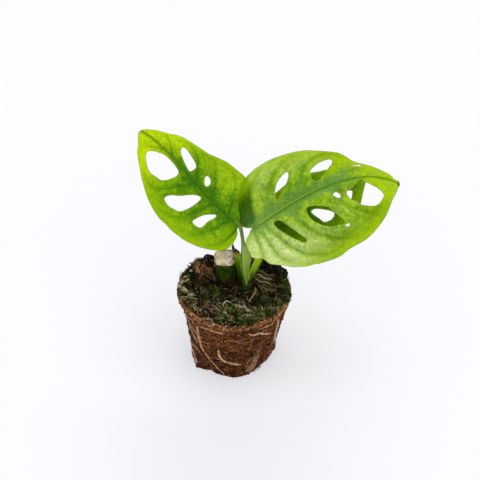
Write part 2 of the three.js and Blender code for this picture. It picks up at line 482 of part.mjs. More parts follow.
// The mossy soil layer, open where the plant passes through and hollowed
// under the pieces that lie in it.
const moss = solid(mossLayer())
  .subtract(solid(cutting(GAP + 0.05)))
  .subtract(solid(shootBase(GAP + 0.05)))
  .subtract(solid(lump(barkAt, grow(barkHalf, 0.4), 20, 5)))
  .subtract(solid(lump(peatAt, grow(peatHalf, 0.4), -20, 9)));
add('moss_layer', surfaceOf(moss), MOSS, 0.95);

add('vine_cutting', cutting(), 0x2f5a1c, 0.6);
add('shoot_base', shootBase(), GREEN, 0.5);
add('cataphyll', cataphyll(), GREEN, 0.5);
add('petiole_left', stalk(PETIOLE_LEFT, 16), 0x6f9a4f, 0.5);
add('petiole_back', stalk(PETIOLE_BACK, 14), 0x6fa028, 0.5);
add('petiole_front', stalk(PETIOLE_FRONT, 14, 8), 0x6f9a4f, 0.5);
add('leaf_left', blade(LEAF_LEFT), MINT, 0.45);
add('leaf_right', blade(LEAF_RIGHT), MINT, 0.45);
add('leaf_back', blade(LEAF_BACK), DEEP, 0.45);

add('bark_chunk', lump(barkAt, barkHalf, 20, 5), 0x5b2f1c, 0.9);
add('peat_chunk', lump(peatAt, peatHalf, -20, 9), 0x1d1612, 0.95);

// Perlite grains, each just clear of the soil below it.
const grain = (name, x, y, h, turn, seed, color) =>
  add(name, lump(V(x, y, mossHeight(x, y) + 1.2 * h + GAP), V(1.1 * h, h, h), turn, seed), color, 0.9);
grain('perlite_grain_1', -14.6, 23.4, 0.8, 10, 11, 0xe8e6e0);
grain('perlite_grain_2', -13.6, 20.3, 0.7, 40, 12, 0xd8d4cc);
grain('perlite_grain_3', -22.6, 12.6, 0.75, 0, 13, 0xd9b8a8);

// Roots and dry strands that lie on the soil, 0.3 mm clear of it.
const onMoss = (list, r, lift = 0) => list.map(([x, y, dz = 0]) => V(x, y, mossHeight(x, y) + r + 0.45 + lift + dz));
const loose = {
  root_arch: [[[-18.2, 7.2], [-17.0, 9.6, 0.8], [-13.0, 10.3, 1.4], [-10.8, 8.0, 0.8], [-10.2, 4.6]], 0.6, ROOT],
  straw_1: [[[11.6, 14.2, 0.9], [15, 11.6, 0.9], [19.6, 9.6, 0.6]], 0.35, STRAW],
  straw_2: [[[11.6, 10.8], [15.4, 8.6, 0.2], [20.3, 6.2]], 0.4, STRAW],
  straw_3: [[[11.2, 6.6], [15, 4.4, 0.2], [20.2, 2.0]], 0.4, STRAW],
  straw_4: [[[12.8, 1.2], [17.4, -1.6, 0.3], [23.0, -2.4]], 0.35, STRAW],
  root_tip_front: [[[11.2, 0.0, 1.4], [11.7, -2.9, 0.8], [10.1, -7.5, 0.3], [7.5, -12.2]], 0.45, ROOT],
  fibre_curl: [[[-5.6, -15.2], [-4.7, -12.0, 0.4], [-3.0, -10.9, 0.6], [-1.4, -11.7, 0.4], [-0.3, -14.2]], 0.35, STRAW],
  fibre_front: [[[-6.6, -17.4], [-4.0, -19.8, 0.2], [-1.8, -22.6]], 0.35, STRAW],
  fibre_right: [[[14.2, -13.8], [15.0, -17.3, 0.2], [14.6, -21.4]], 0.35, STRAW],
  root_rim_left: [[[-27.8, 3.0], [-25.4, -1.2, 0.2], [-21.6, -4.6]], 0.5, ROOT],
};
for (const [name, [path, r, color]] of Object.entries(loose)) add(name, strand(onMoss(path, r), r, 6, 2.4), color, 0.8);

for (const [name, { r, lift, path }] of Object.entries(WALL_ROOTS)) {
  const points = [];
  for (let i = 0; i < path.length; i++) {
    const [angle, z] = path[i];
    const a = rad(angle), R = wallRadius(a, z) + r + GAP + 0.2 + lift;
    points.push(V(R * Math.cos(a), R * Math.sin(a), z));
  }
  add(name, strand(hugWall(points, r + GAP + 0.12 + lift), r, 6, 3.0), ROOT, 0.75);
}

// Extra points between the given ones, each set out from the wall.
function hugWall(points, out) {
  const curve = new THREE.CatmullRomCurve3(points, false, 'centripetal');
  const n = Math.max(4, Math.round(curve.getLength() / 2.5));
  return curve.getSpacedPoints(n).map((p) => {
    const a = Math.atan2(p.y, p.x);
    const R = wallRadius(a, p.z) + out;
    return V(R * Math.cos(a), R * Math.sin(a), p.z);
  });
}

export default monstera;
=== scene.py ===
# A young mint monstera adansonii on its bare root plug: the finished looks.
# All lengths in this file are millimetres until a mesh is made (metres there).
import bpy
import math
import numpy as np
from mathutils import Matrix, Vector, geometry


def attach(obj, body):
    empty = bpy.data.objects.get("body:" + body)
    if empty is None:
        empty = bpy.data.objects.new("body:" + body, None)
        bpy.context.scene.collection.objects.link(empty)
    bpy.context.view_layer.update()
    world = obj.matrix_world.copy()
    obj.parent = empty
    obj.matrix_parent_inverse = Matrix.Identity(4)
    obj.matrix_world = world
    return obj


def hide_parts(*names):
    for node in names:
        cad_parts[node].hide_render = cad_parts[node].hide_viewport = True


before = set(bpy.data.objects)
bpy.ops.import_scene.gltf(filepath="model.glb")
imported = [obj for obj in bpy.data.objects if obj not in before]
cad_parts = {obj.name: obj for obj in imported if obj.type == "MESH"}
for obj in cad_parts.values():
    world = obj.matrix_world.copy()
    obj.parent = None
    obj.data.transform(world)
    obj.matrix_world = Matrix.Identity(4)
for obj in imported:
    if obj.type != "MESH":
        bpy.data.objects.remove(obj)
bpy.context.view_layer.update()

MM = 0.001


# ------------------------------------------------------------------ number kit
def lerp(a, b, t):
    return a + (b - a) * t


def smooth(x, lo, hi):
    t = np.clip((np.asarray(x, float) - lo) / (hi - lo), 0.0, 1.0)
    return t * t * (3 - 2 * t)


def unit(v):
    v = np.asarray(v, float)
    return v / np.maximum(np.linalg.norm(v, axis=-1, keepdims=True), 1e-12)


def _hash(ix, iy, iz, seed):
    with np.errstate(over="ignore"):
        h = (ix.astype(np.uint32) * np.uint32(374761393)
             + iy.astype(np.uint32) * np.uint32(668265263)
             + iz.astype(np.uint32) * np.uint32(2246822519)
             + np.uint32((seed * 3266489917 + 97) & 0xFFFFFFFF))
        h = (h ^ (h >> np.uint32(13))) * np.uint32(1274126177)
        h = (h ^ (h >> np.uint32(15))) * np.uint32(2654435761)
        return h ^ (h >> np.uint32(16))


def noise3(p, seed=0):
    """Gradient noise, about -1 to 1."""
    p = np.asarray(p, float)
    i = np.floor(p).astype(np.int64)
    f = p - i
    w = f * f * f * (f * (f * 6 - 15) + 10)
    out = np.zeros(len(p))
    for dx in (0, 1):
        for dy in (0, 1):
            for dz in (0, 1):
                h = _hash(i[:, 0] + dx, i[:, 1] + dy, i[:, 2] + dz, seed)
                gx = (h & np.uint32(1023)) / 511.5 - 1
                gy = ((h >> np.uint32(10)) & np.uint32(1023)) / 511.5 - 1
                gz = ((h >> np.uint32(20)) & np.uint32(1023)) / 511.5 - 1
                d = gx * (f[:, 0] - dx) + gy * (f[:, 1] - dy) + gz * (f[:, 2] - dz)
                out += d * (w[:, 0] if dx else 1 - w[:, 0]) * (w[:, 1] if dy else 1 - w[:, 1]) * (w[:, 2] if dz else 1 - w[:, 2])
    return out * 1.25


def fbm(p, octaves=4, gain=0.5, seed=0):
    p = np.asarray(p, float)
    out, amp, total = np.zeros(len(p)), 1.0, 0.0
    for k in range(octaves):
        out += amp * noise3(p * 2.03 ** k + 17.3 * k, seed + 31 * k)
        total += amp
        amp *= gain
    return out / total


def cells3(p, seed=0):
    """Distance to the nearest of one random point per unit cell, and a random number for that point."""
    p = np.asarray(p, float)
    i = np.floor(p).astype(np.int64)
    best = np.full(len(p), 9.0)
    tag = np.zeros(len(p))
    for dx in (-1, 0, 1):
        for dy in (-1, 0, 1):
            for dz in (-1, 0, 1):
                c = i + np.array([dx, dy, dz])
                h = _hash(c[:, 0], c[:, 1], c[:, 2], seed)
                q = c + np.stack([(h & np.uint32(1023)) / 1023.0, ((h >> np.uint32(10)) & np.uint32(1023)) / 1023.0, ((h >> np.uint32(20)) & np.uint32(1023)) / 1023.0], 1)
                d = np.linalg.norm(p - q, axis=1)
                near = d < best
                best = np.where(near, d, best)
                tag = np.where(near, (h >> np.uint32(7)) % np.uint32(997) / 997.0, tag)
    return best, tag


def spline(points, closed=False, per=14):
    """Centripetal Catmull-Rom through the points, per samples a span."""
    P = np.asarray(points, float)
    n = len(P)
    out = []
    spans = n if closed else n - 1
    for i in range(spans):
        if closed:
            p0, p1, p2, p3 = P[(i - 1) % n], P[i], P[(i + 1) % n], P[(i + 2) % n]
        else:
            p1, p2 = P[i], P[i + 1]
            p0 = P[i - 1] if i > 0 else 2 * p1 - p2
            p3 = P[i + 2] if i + 2 < n else 2 * p2 - p1
        d0 = max(np.linalg.norm((p1 - p0)[:3]) ** 0.5, 1e-4)
        d1 = max(np.linalg.norm((p2 - p1)[:3]) ** 0.5, 1e-4)
        d2 = max(np.linalg.norm((p3 - p2)[:3]) ** 0.5, 1e-4)
        t1 = ((p1 - p0) / d0 - (p2 - p0) / (d0 + d1) + (p2 - p1) / d1) * d1
        t2 = ((p2 - p1) / d1 - (p3 - p1) / (d1 + d2) + (p3 - p2) / d2) * d1
        t = np.linspace(0, 1, per, endpoint=False)[:, None]
        out.append(p1 + t1 * t + (-3 * p1 + 3 * p2 - 2 * t1 - t2) * t ** 2 + (2 * p1 - 2 * p2 + t1 + t2) * t ** 3)
    if not closed:
        out.append(P[-1:])
    return np.concatenate(out)


def even(points, step, closed=False, least=3, dims=3):
    """Points re-spaced evenly along a polyline."""
    P = np.asarray(points, float)
    if closed:
        P = np.vstack([P, P[:1]])
    s = np.r_[0, np.cumsum(np.linalg.norm(np.diff(P[:, :dims], axis=0), axis=1))]
    n = max(least, int(round(s[-1] / step)))
    t = np.linspace(0, s[-1], n + 1)
    if closed:
        t = t[:-1]
    return np.stack([np.interp(t, s, P[:, k]) for k in range(P.shape[1])], 1)


def inside(poly, P):
    x, y = P[:, 0], P[:, 1]
    odd = np.zeros(len(P), bool)
    n = len(poly)
    for i in range(n):
        xi, yi = poly[i]
        xj, yj = poly[i - 1]
        if yi == yj:
            continue
        odd ^= ((yi > y) != (yj > y)) & (x < (xj - xi) * (y - yi) / (yj - yi) + xi)
    return odd


def distance_to(line, P, closed=True):
    """Distance from each point to a polyline, and how far along it the nearest point is, 0 to 1."""
    best = np.full(len(P), 1e9)
    along = np.zeros(len(P))
    n = len(line)
    m = n if closed else n - 1
    for i in range(m):
        a, b = line[i], line[(i + 1) % n]
        e = b - a
        t = np.clip(((P - a) @ e) / max(e @ e, 1e-12), 0, 1)
        d = np.hypot(P[:, 0] - a[0] - t * e[0], P[:, 1] - a[1] - t * e[1])
        near = d < best
        best = np.where(near, d, best)
        along = np.where(near, (i + t) / m, along)
    return best, along


# --------------------------------------------------------------------- meshes
pieces = []


def make(name, verts, faces, material, replaces=(), attrs=None, flat=False, body="root"):
    """A piece from vertices in mm and a list of face arrays (n x 3 or n x 4)."""
    faces = [np.asarray(f, np.int32) for f in faces if len(f)]
    verts = np.asarray(verts, np.float32) * MM
    me = bpy.data.meshes.new(name)
    me.vertices.add(len(verts))
    me.vertices.foreach_set("co", verts.ravel())
    loops = np.concatenate([f.ravel() for f in faces])
    sizes = np.concatenate([np.full(len(f), f.shape[1], np.int32) for f in faces])
    starts = np.r_[0, np.cumsum(sizes)[:-1]].astype(np.int32)
    me.loops.add(len(loops))
    me.loops.foreach_set("vertex_index", loops)
    me.polygons.add(len(sizes))
    me.polygons.foreach_set("loop_start", starts)
    me.update(calc_edges=True)
    me.validate()
    me.polygons.foreach_set("use_smooth", np.full(len(me.polygons), not flat))
    for key, values in (attrs or {}).items():
        a = me.attributes.new(key, "FLOAT", "POINT")
        a.data.foreach_set("value", np.asarray(values, np.float32))
    me.materials.append(material)
    o = bpy.data.objects.new(name, me)
    bpy.context.scene.collection.objects.link(o)
    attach(o, body)
    if replaces:
        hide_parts(*replaces)
    pieces.append(o)
    return o


class Heap:
    """Gathers many small closed bodies into one mesh."""

    def __init__(self):
        self.v, self.f, self.a, self.n = [], {3: [], 4: []}, {}, 0

    def add(self, verts, faces, **attrs):
        verts = np.asarray(verts, float).reshape(-1, 3)
        for f in faces:
            f = np.asarray(f)
            if len(f):
                self.f[f.shape[1]].append(f + self.n)
        self.v.append(verts)
        for k, val in attrs.items():
            self.a.setdefault(k, []).append(np.broadcast_to(np.asarray(val, float), (len(verts),)))
        self.n += len(verts)

    def make(self, name, material, slot, replaces=(), flat=False):
        faces = [np.concatenate(self.f[k]) for k in (3, 4) if self.f[k]]
        return make(name, np.concatenate(self.v), faces, material, replaces, {k: np.concatenate(v) for k, v in self.a.items()}, flat)


def loft(rings, round_caps=True):
    """Closed skin over (K, S, 3) rings that run anticlockwise seen from the last one."""
    R = np.asarray(rings, float)
    K, S = R.shape[:2]
    idx = np.arange(K * S).reshape(K, S)
    nxt = np.roll(idx, -1, axis=1)
    quads = np.stack([idx[:-1], nxt[:-1], nxt[1:], idx[1:]], -1).reshape(-1, 4)
    verts = np.vstack([R.reshape(-1, 3), R[0].mean(0), R[-1].mean(0)])
    a, b = K * S, K * S + 1
    tris = np.vstack([np.stack([np.full(S, a), nxt[0], idx[0]], 1), np.stack([np.full(S, b), idx[-1], nxt[-1]], 1)])
    return verts, [quads, tris]


def tubes(P, R, sides, ref=None):
    """Many closed tubes at once: centre lines (M, K, 3), radii (M, K)."""
    P = np.asarray(P, float)
    M, K = P.shape[:2]
    R = np.broadcast_to(np.asarray(R, float), (M, K))
    T = unit(np.gradient(P, axis=1))
    if ref is None:
        mean = unit(T.mean(1))
        ref = np.where(np.abs(mean[:, 2:3]) > 0.8, np.array([[1.0, 0, 0]]), np.array([[0, 0, 1.0]]))
    ref = np.broadcast_to(np.asarray(ref, float).reshape(-1, 1, 3), (M, 1, 3))
    E1 = unit(np.cross(np.broadcast_to(ref, T.shape), T))
    E2 = np.cross(T, E1)
    q = 2 * np.pi * np.arange(sides) / sides
    V = P[:, :, None] + R[:, :, None, None] * (np.cos(q)[None, None, :, None] * E1[:, :, None] + np.sin(q)[None, None, :, None] * E2[:, :, None])
    base = (np.arange(M) * K * sides)[:, None, None]
    idx = base + np.arange(K * sides).reshape(1, K, sides)
    nxt = np.roll(idx, -1, axis=2)
    quads = np.stack([idx[:, :-1], nxt[:, :-1], nxt[:, 1:], idx[:, 1:]], -1).reshape(-1, 4)
    caps = []
    for s in range(1, sides - 1):
        caps.append(np.stack([idx[:, 0, 0], idx[:, 0, s + 1], idx[:, 0, s]], 1))
        caps.append(np.stack([idx[:, -1, 0], idx[:, -1, s], idx[:, -1, s + 1]], 1))
    return V.reshape(-1, 3), [quads, np.vstack(caps)]


def _ico(detail):
    g = (1 + 5 ** 0.5) / 2
    v = [(-1, g, 0), (1, g, 0), (-1, -g, 0), (1, -g, 0), (0, -1, g), (0, 1, g), (0, -1, -g), (0, 1, -g), (g, 0, -1), (g, 0, 1), (-g, 0, -1), (-g, 0, 1)]
    f = [(0, 11, 5), (0, 5, 1), (0, 1, 7), (0, 7, 10), (0, 10, 11), (1, 5, 9), (5, 11, 4), (11, 10, 2), (10, 7, 6), (7, 1, 8), (3, 9, 4), (3, 4, 2), (3, 2, 6), (3, 6, 8), (3, 8, 9), (4, 9, 5), (2, 4, 11), (6, 2, 10), (8, 6, 7), (9, 8, 1)]
    v = [np.array(p, float) / np.linalg.norm(p) for p in v]
    for _ in range(detail):
        mid, out = {}, []
        def m(a, b):
            key = (min(a, b), max(a, b))
            if key not in mid:
                mid[key] = len(v)
                v.append(unit(v[a] + v[b]))
            return mid[key]
        for a, b, c in f:
            ab, bc, ca = m(a, b), m(b, c), m(c, a)
            out += [(a, ab, ca), (b, bc, ab), (c, ca, bc), (ab, bc, ca)]
        f = out
    return np.array(v), np.array(f)


ICO = {d: _ico(d) for d in (0, 1, 2, 4)}


def spin(rng, n):
    """n random rotation matrices."""
    q = unit(rng.normal(size=(n, 4)))
    w, x, y, z = q.T
    return np.stack([1 - 2 * (y * y + z * z), 2 * (x * y - z * w), 2 * (x * z + y * w),
                     2 * (x * y + z * w), 1 - 2 * (x * x + z * z), 2 * (y * z - x * w),
                     2 * (x * z - y * w), 2 * (y * z + x * w), 1 - 2 * (x * x + y * y)], 1).reshape(n, 3, 3)


def crumbs(rng, centres, sizes, detail=0, squeeze=0.45):
    """Small uneven lumps at the centres."""
    v, f = ICO[detail]
    n = len(centres)
    wobble = 1 + 0.55 * (rng.random((n, len(v), 1)) - 0.5)
    shape = 1 - squeeze * rng.random((n, 1, 3))
    V = np.einsum("nij,nvj->nvi", spin(rng, n), v[None] * wobble * shape) * np.asarray(sizes)[:, None, None] + centres[:, None]
    F = (f[None] + (np.arange(n) * len(v))[:, None, None]).reshape(-1, 3)
    return V.reshape(-1, 3), F, len(v)


def spindles(base, tip, wide, width, thick):
    """Small lance-shaped moss leaves: a closed body with a point at each end."""
    base, tip = np.asarray(base, float), np.asarray(tip, float)
    d = tip - base
    W = unit(wide - unit(d) * np.sum(wide * unit(d), 1, keepdims=True))
    N = unit(np.cross(d, W))
    mid = base + 0.42 * d + N * (0.12 * np.linalg.norm(d, axis=1, keepdims=True))
    w, t = np.asarray(width)[:, None], np.asarray(thick)[:, None]
    V = np.stack([base, mid + W * w * 0.5, mid + N * t, mid - W * w * 0.5, tip], 1)
    f = np.array([(0, 2, 1), (0, 3, 2), (0, 1, 3), (4, 1, 2), (4, 2, 3), (4, 3, 1)])
    F = (f[None] + (np.arange(len(base)) * 5)[:, None, None]).reshape(-1, 3)
    return V.reshape(-1, 3), F


# ------------------------------------------------------------------ materials
def C(r, g, b, a=1.0):
    f = lambda c: (c / 255) / 12.92 if c / 255 <= 0.04045 else ((c / 255 + 0.055) / 1.055) ** 2.4
    return (f(r), f(g), f(b), a)


class Mat:
    def __init__(self, name):
        self.m = bpy.data.materials.new(name)
        self.m.use_nodes = True
        self.t = self.m.node_tree
        self.t.nodes.clear()
        self.out = self.t.nodes.new("ShaderNodeOutputMaterial")
        self.b = self.t.nodes.new("ShaderNodeBsdfPrincipled")
        self.t.links.new(self.b.outputs["BSDF"], self.out.inputs["Surface"])

    def put(self, socket, value):
        if isinstance(value, bpy.types.NodeSocket):
            self.t.links.new(value, socket)
        elif value is not None:
            if hasattr(socket.default_value, "__len__") and not hasattr(value, "__len__"):
                value = [value] * len(socket.default_value)
            socket.default_value = value

    def set(self, **k):
        for name, value in k.items():
            self.put(self.b.inputs[name.replace("_", " ")], value)

    def attr(self, name):
        n = self.t.nodes.new("ShaderNodeAttribute")
        n.attribute_name = name
        return n.outputs["Fac"]

    def obj(self):
        return self.t.nodes.new("ShaderNodeTexCoord").outputs["Object"]

    def xyz(self, v):
        n = self.t.nodes.new("ShaderNodeSeparateXYZ")
        self.put(n.inputs[0], v)
        return n.outputs

    def vec(self, x, y, z):
        n = self.t.nodes.new("ShaderNodeCombineXYZ")
        for i, c in enumerate((x, y, z)):
            self.put(n.inputs[i], c)
        return n.outputs[0]

    def math(self, op, a, b=None, c=None, clamp=False):
        n = self.t.nodes.new("ShaderNodeMath")
        n.operation = op
        n.use_clamp = clamp
        for i, s in enumerate((a, b, c)):
            if s is not None:
                self.put(n.inputs[i], s)
        return n.outputs[0]

    def mul(self, a, b):
        return self.math("MULTIPLY", a, b)

    def add(self, a, b):
        return self.math("ADD", a, b)

    def scale(self, v, s):
        n = self.t.nodes.new("ShaderNodeVectorMath")
        n.operation = "MULTIPLY"
        self.put(n.inputs[0], v)
        n.inputs[1].default_value = (s, s, s) if not hasattr(s, "__len__") else s
        return n.outputs[0]

    def noise(self, v, scale, detail=3, rough=0.5, warp=0.0):
        n = self.t.nodes.new("ShaderNodeTexNoise")
        self.put(n.inputs["Vector"], v)
        n.inputs["Scale"].default_value = scale
        n.inputs["Detail"].default_value = detail
        n.inputs["Roughness"].default_value = rough
        n.inputs["Distortion"].default_value = warp
        return n.outputs["Fac"]

    def cell(self, v, scale, feature="F1", random=1.0):
        n = self.t.nodes.new("ShaderNodeTexVoronoi")
        n.feature = feature
        self.put(n.inputs["Vector"], v)
        n.inputs["Scale"].default_value = scale
        n.inputs["Randomness"].default_value = random
        return n.outputs

    def step(self, x, lo, hi, a=0.0, b=1.0):
        n = self.t.nodes.new("ShaderNodeMapRange")
        n.interpolation_type = "SMOOTHSTEP"
        self.put(n.inputs["Value"], x)
        n.inputs["From Min"].default_value = lo
        n.inputs["From Max"].default_value = hi
        n.inputs["To Min"].default_value = a
        n.inputs["To Max"].default_value = b
        return n.outputs["Result"]

    def ramp(self, x, stops):
        n = self.t.nodes.new("ShaderNodeValToRGB")
        self.put(n.inputs[0], x)
        e = n.color_ramp.elements
        while len(e) > 1:
            e.remove(e[-1])
        e[0].position, e[0].color = stops[0]
        for pos, col in stops[1:]:
            s = e.new(pos)
            s.color = col
        return n.outputs["Color"]

    def mix(self, f, a, b, mode="MIX"):
        n = self.t.nodes.new("ShaderNodeMix")
        n.data_type = "RGBA"
        n.blend_type = mode
        n.clamp_factor = True
        self.put(n.inputs[0], f)
        self.put(n.inputs[6], a)
        self.put(n.inputs[7], b)
        return n.outputs[2]

    def bump(self, height, strength=0.5, distance=0.0003, normal=None):
        n = self.t.nodes.new("ShaderNodeBump")
        n.inputs["Strength"].default_value = strength
        n.inputs["Distance"].default_value = distance
        self.put(n.inputs["Height"], height)
        if normal is not None:
            self.put(n.inputs["Normal"], normal)
        return n.outputs[0]



# --------------------------------------------------------------------- leaves
# midrib: cubic x, y, z against the distance u from the base. face: side tilt,
# elevation of the upper side and its change per mm, curvature across on either
# side of the midrib and its change per mm. margin, holes and veins are (u, v)
# on the blade, v measured along the surface from the midrib.
LEAF_LEFT = {
  "midrib": [[3.57891, -0.817574, 0.00448925, -4.01349e-05], [3.19742, 0.400859, 0.00551453, -4.20505e-05], [83.3876, 0.445793, 0.000617819, -1.74499e-05]],
  "face": [0.1, 60, 0, 0.008, 0, 0.008, 0],
  "length": 73.9,
  "margin": [[0.05, 0.29], [0.14, 2.40], [-1.26, 4.27], [-1.77, 5.83], [-2.12, 10.72], [-1.30, 14.31], [0.46, 16.87], [4.53, 20.07], [6.73, 21.50], [10.39, 23.25], [14.41, 24.70], [19.30, 25.63], [22.65, 26.01], [25.11, 25.87], [28.68, 26.30], [34.26, 25.82], [40.65, 24.24], [45.14, 22.60], [54.01, 18.47], [66.21, 10.78], [68.85, 7.51], [73.15, 2.48], [74.01, 0.22], [72.93, -1.77], [70.59, -3.73], [66.73, -6.18], [61.27, -9.08], [59.35, -10.68], [56.23, -12.49], [48.83, -14.46], [41.25, -16.62], [31.89, -21.13], [22.61, -22.71], [17.53, -22.94], [12.17, -21.80], [6.13, -17.69], [1.79, -11.07], [-0.03, -4.59]],
  "holes": {
    "L1": [[62.15, 6.80], [61.30, 5.49], [60.05, 4.50], [54.32, 1.97], [49.16, 1.68], [45.42, 1.96], [42.39, 2.75], [41.34, 4.15], [41.16, 5.69], [43.36, 11.19], [45.47, 12.79], [47.71, 13.12], [49.99, 13.84], [53.03, 13.61], [57.18, 11.88], [61.53, 8.61]],
    "L2": [[35.59, 15.25], [34.66, 13.72], [31.77, 10.89], [29.82, 7.93], [26.95, 4.41], [25.18, 3.28], [23.97, 3.43], [23.75, 10.03], [25.25, 15.38], [25.76, 16.24], [29.61, 18.08], [31.38, 18.51], [32.93, 18.49], [34.57, 18.15], [35.55, 17.59], [35.96, 16.59]],
    "L3": [[51.59, -7.87], [51.42, -8.55], [50.06, -8.88], [44.76, -8.13], [39.91, -6.87], [38.68, -5.63], [38.42, -3.34], [38.97, -2.06], [43.67, -2.93], [49.84, -5.38], [51.11, -6.60]],
    "L4": [[16.80, 9.05], [15.58, 6.98], [12.85, 4.09], [12.35, 4.19], [12.07, 4.95], [13.11, 9.52], [13.14, 13.27], [13.77, 14.72], [14.83, 15.17], [16.96, 15.37], [17.99, 15.04]],
    "L5": [[31.55, -6.44], [31.20, -7.37], [30.70, -7.63], [28.23, -6.96], [26.82, -5.06], [26.82, -3.62], [27.64, -2.96], [28.34, -3.16], [30.96, -5.34]],
  }}
LEAF_RIGHT = {
  "midrib": [[10.3878, 0.738124, 0.00379406, -2.40754e-05], [-1.87637, 0.15729, 0.00187557, -1.24778e-05], [86.0144, 0.519866, 0.00177215, -7.2228e-05]],
  "face": [0.02, 60, 0.17, 0.011, 0, 0.016, 0],
  "length": 84.0,
  "margin": [[-1.45, 0.34], [-2.88, -0.03], [-4.14, -1.05], [-8.22, -3.23], [-9.60, -6.14], [-10.07, -9.82], [-10.32, -12.07], [-8.75, -13.63], [-5.06, -15.85], [-3.59, -19.62], [-1.31, -21.72], [3.22, -25.07], [4.62, -26.74], [7.24, -28.56], [12.49, -31.30], [17.41, -32.75], [19.46, -33.61], [28.97, -35.61], [33.17, -35.64], [39.61, -34.60], [52.97, -33.21], [59.49, -31.21], [64.94, -28.69], [71.88, -23.24], [75.23, -18.59], [79.20, -10.41], [80.96, -7.43], [82.68, -3.01], [84.21, -0.28], [83.54, 1.73], [81.05, 1.60], [78.37, 3.55], [74.93, 4.80], [66.52, 7.70], [59.63, 11.01], [57.16, 14.66], [54.50, 17.45], [51.56, 19.21], [44.01, 23.59], [40.18, 25.63], [36.60, 26.96], [32.94, 28.13], [25.73, 29.79], [20.59, 29.63], [16.36, 29.44], [12.22, 28.38], [9.11, 27.37], [4.32, 23.63], [0.79, 20.49], [-2.40, 17.15], [-4.95, 12.81], [-6.49, 8.00], [-6.20, 5.04], [-4.42, 2.78]],
  "holes": {
    "RA": [[27.33, 17.23], [28.39, 16.85], [27.80, 14.55], [25.93, 11.88], [24.16, 10.56], [22.76, 9.41], [21.35, 8.29], [19.41, 6.97], [17.92, 6.27], [17.79, 8.09], [18.12, 9.48], [19.50, 11.81], [20.84, 13.53], [24.35, 16.10]],
    "RB": [[47.83, 14.61], [49.44, 14.17], [49.76, 13.13], [49.10, 11.30], [46.84, 9.48], [45.75, 8.42], [43.09, 6.93], [41.21, 5.57], [39.77, 4.44], [38.25, 4.86], [37.35, 6.57], [37.60, 8.92], [37.74, 10.78], [39.23, 12.53], [40.54, 13.33], [43.98, 14.44]],
    "RC": [[10.47, -3.86], [12.22, -3.61], [13.98, -4.76], [14.86, -6.72], [17.34, -12.39], [19.35, -16.96], [20.60, -20.03], [20.35, -20.69], [18.63, -20.55], [16.00, -17.26], [13.46, -12.97], [11.28, -8.54], [10.35, -5.47]],
    "RD": [[28.43, -6.22], [30.23, -6.26], [33.44, -7.68], [37.23, -9.95], [39.41, -12.27], [40.48, -14.96], [42.59, -18.65], [43.77, -20.65], [42.82, -21.81], [39.51, -21.20], [35.30, -20.32], [32.68, -18.73], [29.85, -15.70], [28.12, -12.75], [27.53, -9.46]],
    "RE": [[60.53, -1.6], [58.88, -2.28], [56.96, -3.62], [55.04, -5.04], [53.06, -6.06], [51.26, -6.37], [50.4, -7.78], [50.84, -9.67], [51.52, -11.14], [53.28, -12.2], [54.68, -13.55], [56.28, -15.1], [59.44, -16.11], [65.71, -16.63], [69.53, -14.47], [72.15, -10.62], [71.34, -8.99], [68.66, -6.86], [65.8, -5.17], [62.92, -3.5], [61.52, -2.43]],
    "RF": [[43.48, -5.68], [44.71, -5.13], [46.14, -5.28], [46.77, -6.51], [47.07, -7.88], [46.31, -8.63], [45.18, -8.33], [44.18, -7.36]],
    "RG": [[43.15, -22.73], [44.37, -22.62], [45.77, -22.43], [45.6, -23.65], [44.18, -23.83]],
    "RH": [[58.0, 7.32], [59.41, 7.69], [61.02, 7.82], [62.76, 7.67], [63.04, 6.98], [62.23, 6.67], [60.81, 7.2], [59.24, 7.11]],
  }}
LEAF_BACK = {
  "midrib": [[14.6946, 0.787415, 0.000690993, 6.3999e-06], [7.00913, 0.312369, -0.000441579, 3.62233e-06], [72.0475, 0.515398, 0.000381725, -3.38952e-05]],
  "face": [0.05, 60, 0, 0.012, 0, 0.012, 0],
  "length": 63.5,
  "margin": [[-1.77, -0.64], [-2.48, -3.39], [-1.40, -6.36], [1.53, -9.45], [7.08, -13.40], [12.83, -16.22], [20.81, -18.77], [30.10, -19.59], [36.29, -19.15], [41.74, -17.71], [47.32, -15.82], [50.98, -14.26], [53.88, -12.31], [58.37, -6.61], [61.22, -2.72], [63.91, 0.15], [59.84, 4.39], [54.54, 8.47], [50.29, 11.08], [45.67, 12.89], [42.97, 13.57], [38.71, 15.31], [32.48, 16.72], [24.64, 17.11], [21.75, 16.79], [18.83, 16.39], [12.97, 15.24], [7.61, 12.61], [3.41, 9.09], [0.82, 5.02]],
  "holes": {
    "T1": [[30.27, -3.17], [31.89, -3.71], [34.58, -5.80], [37.09, -7.94], [38.67, -10.04], [38.41, -11.09], [35.77, -12.44], [33.67, -12.26], [31.81, -11.71], [30.21, -8.16], [28.86, -4.64], [28.88, -3.34]],
    "T2": [[50.01, -2.61], [51.39, -3.32], [52.77, -4.31], [51.74, -6.2], [50.45, -7.84], [48.72, -9.22], [47.4, -8.3], [47.82, -5.55], [48.92, -3.4]],
    "T3": [[42.3, -0.85], [43.6, -0.72], [44.9, -0.95], [45.88, -2.17], [46.25, -3.93], [45.14, -5.7], [42.92, -6.04], [41.63, -3.52], [41.5, -1.9]],
  }}
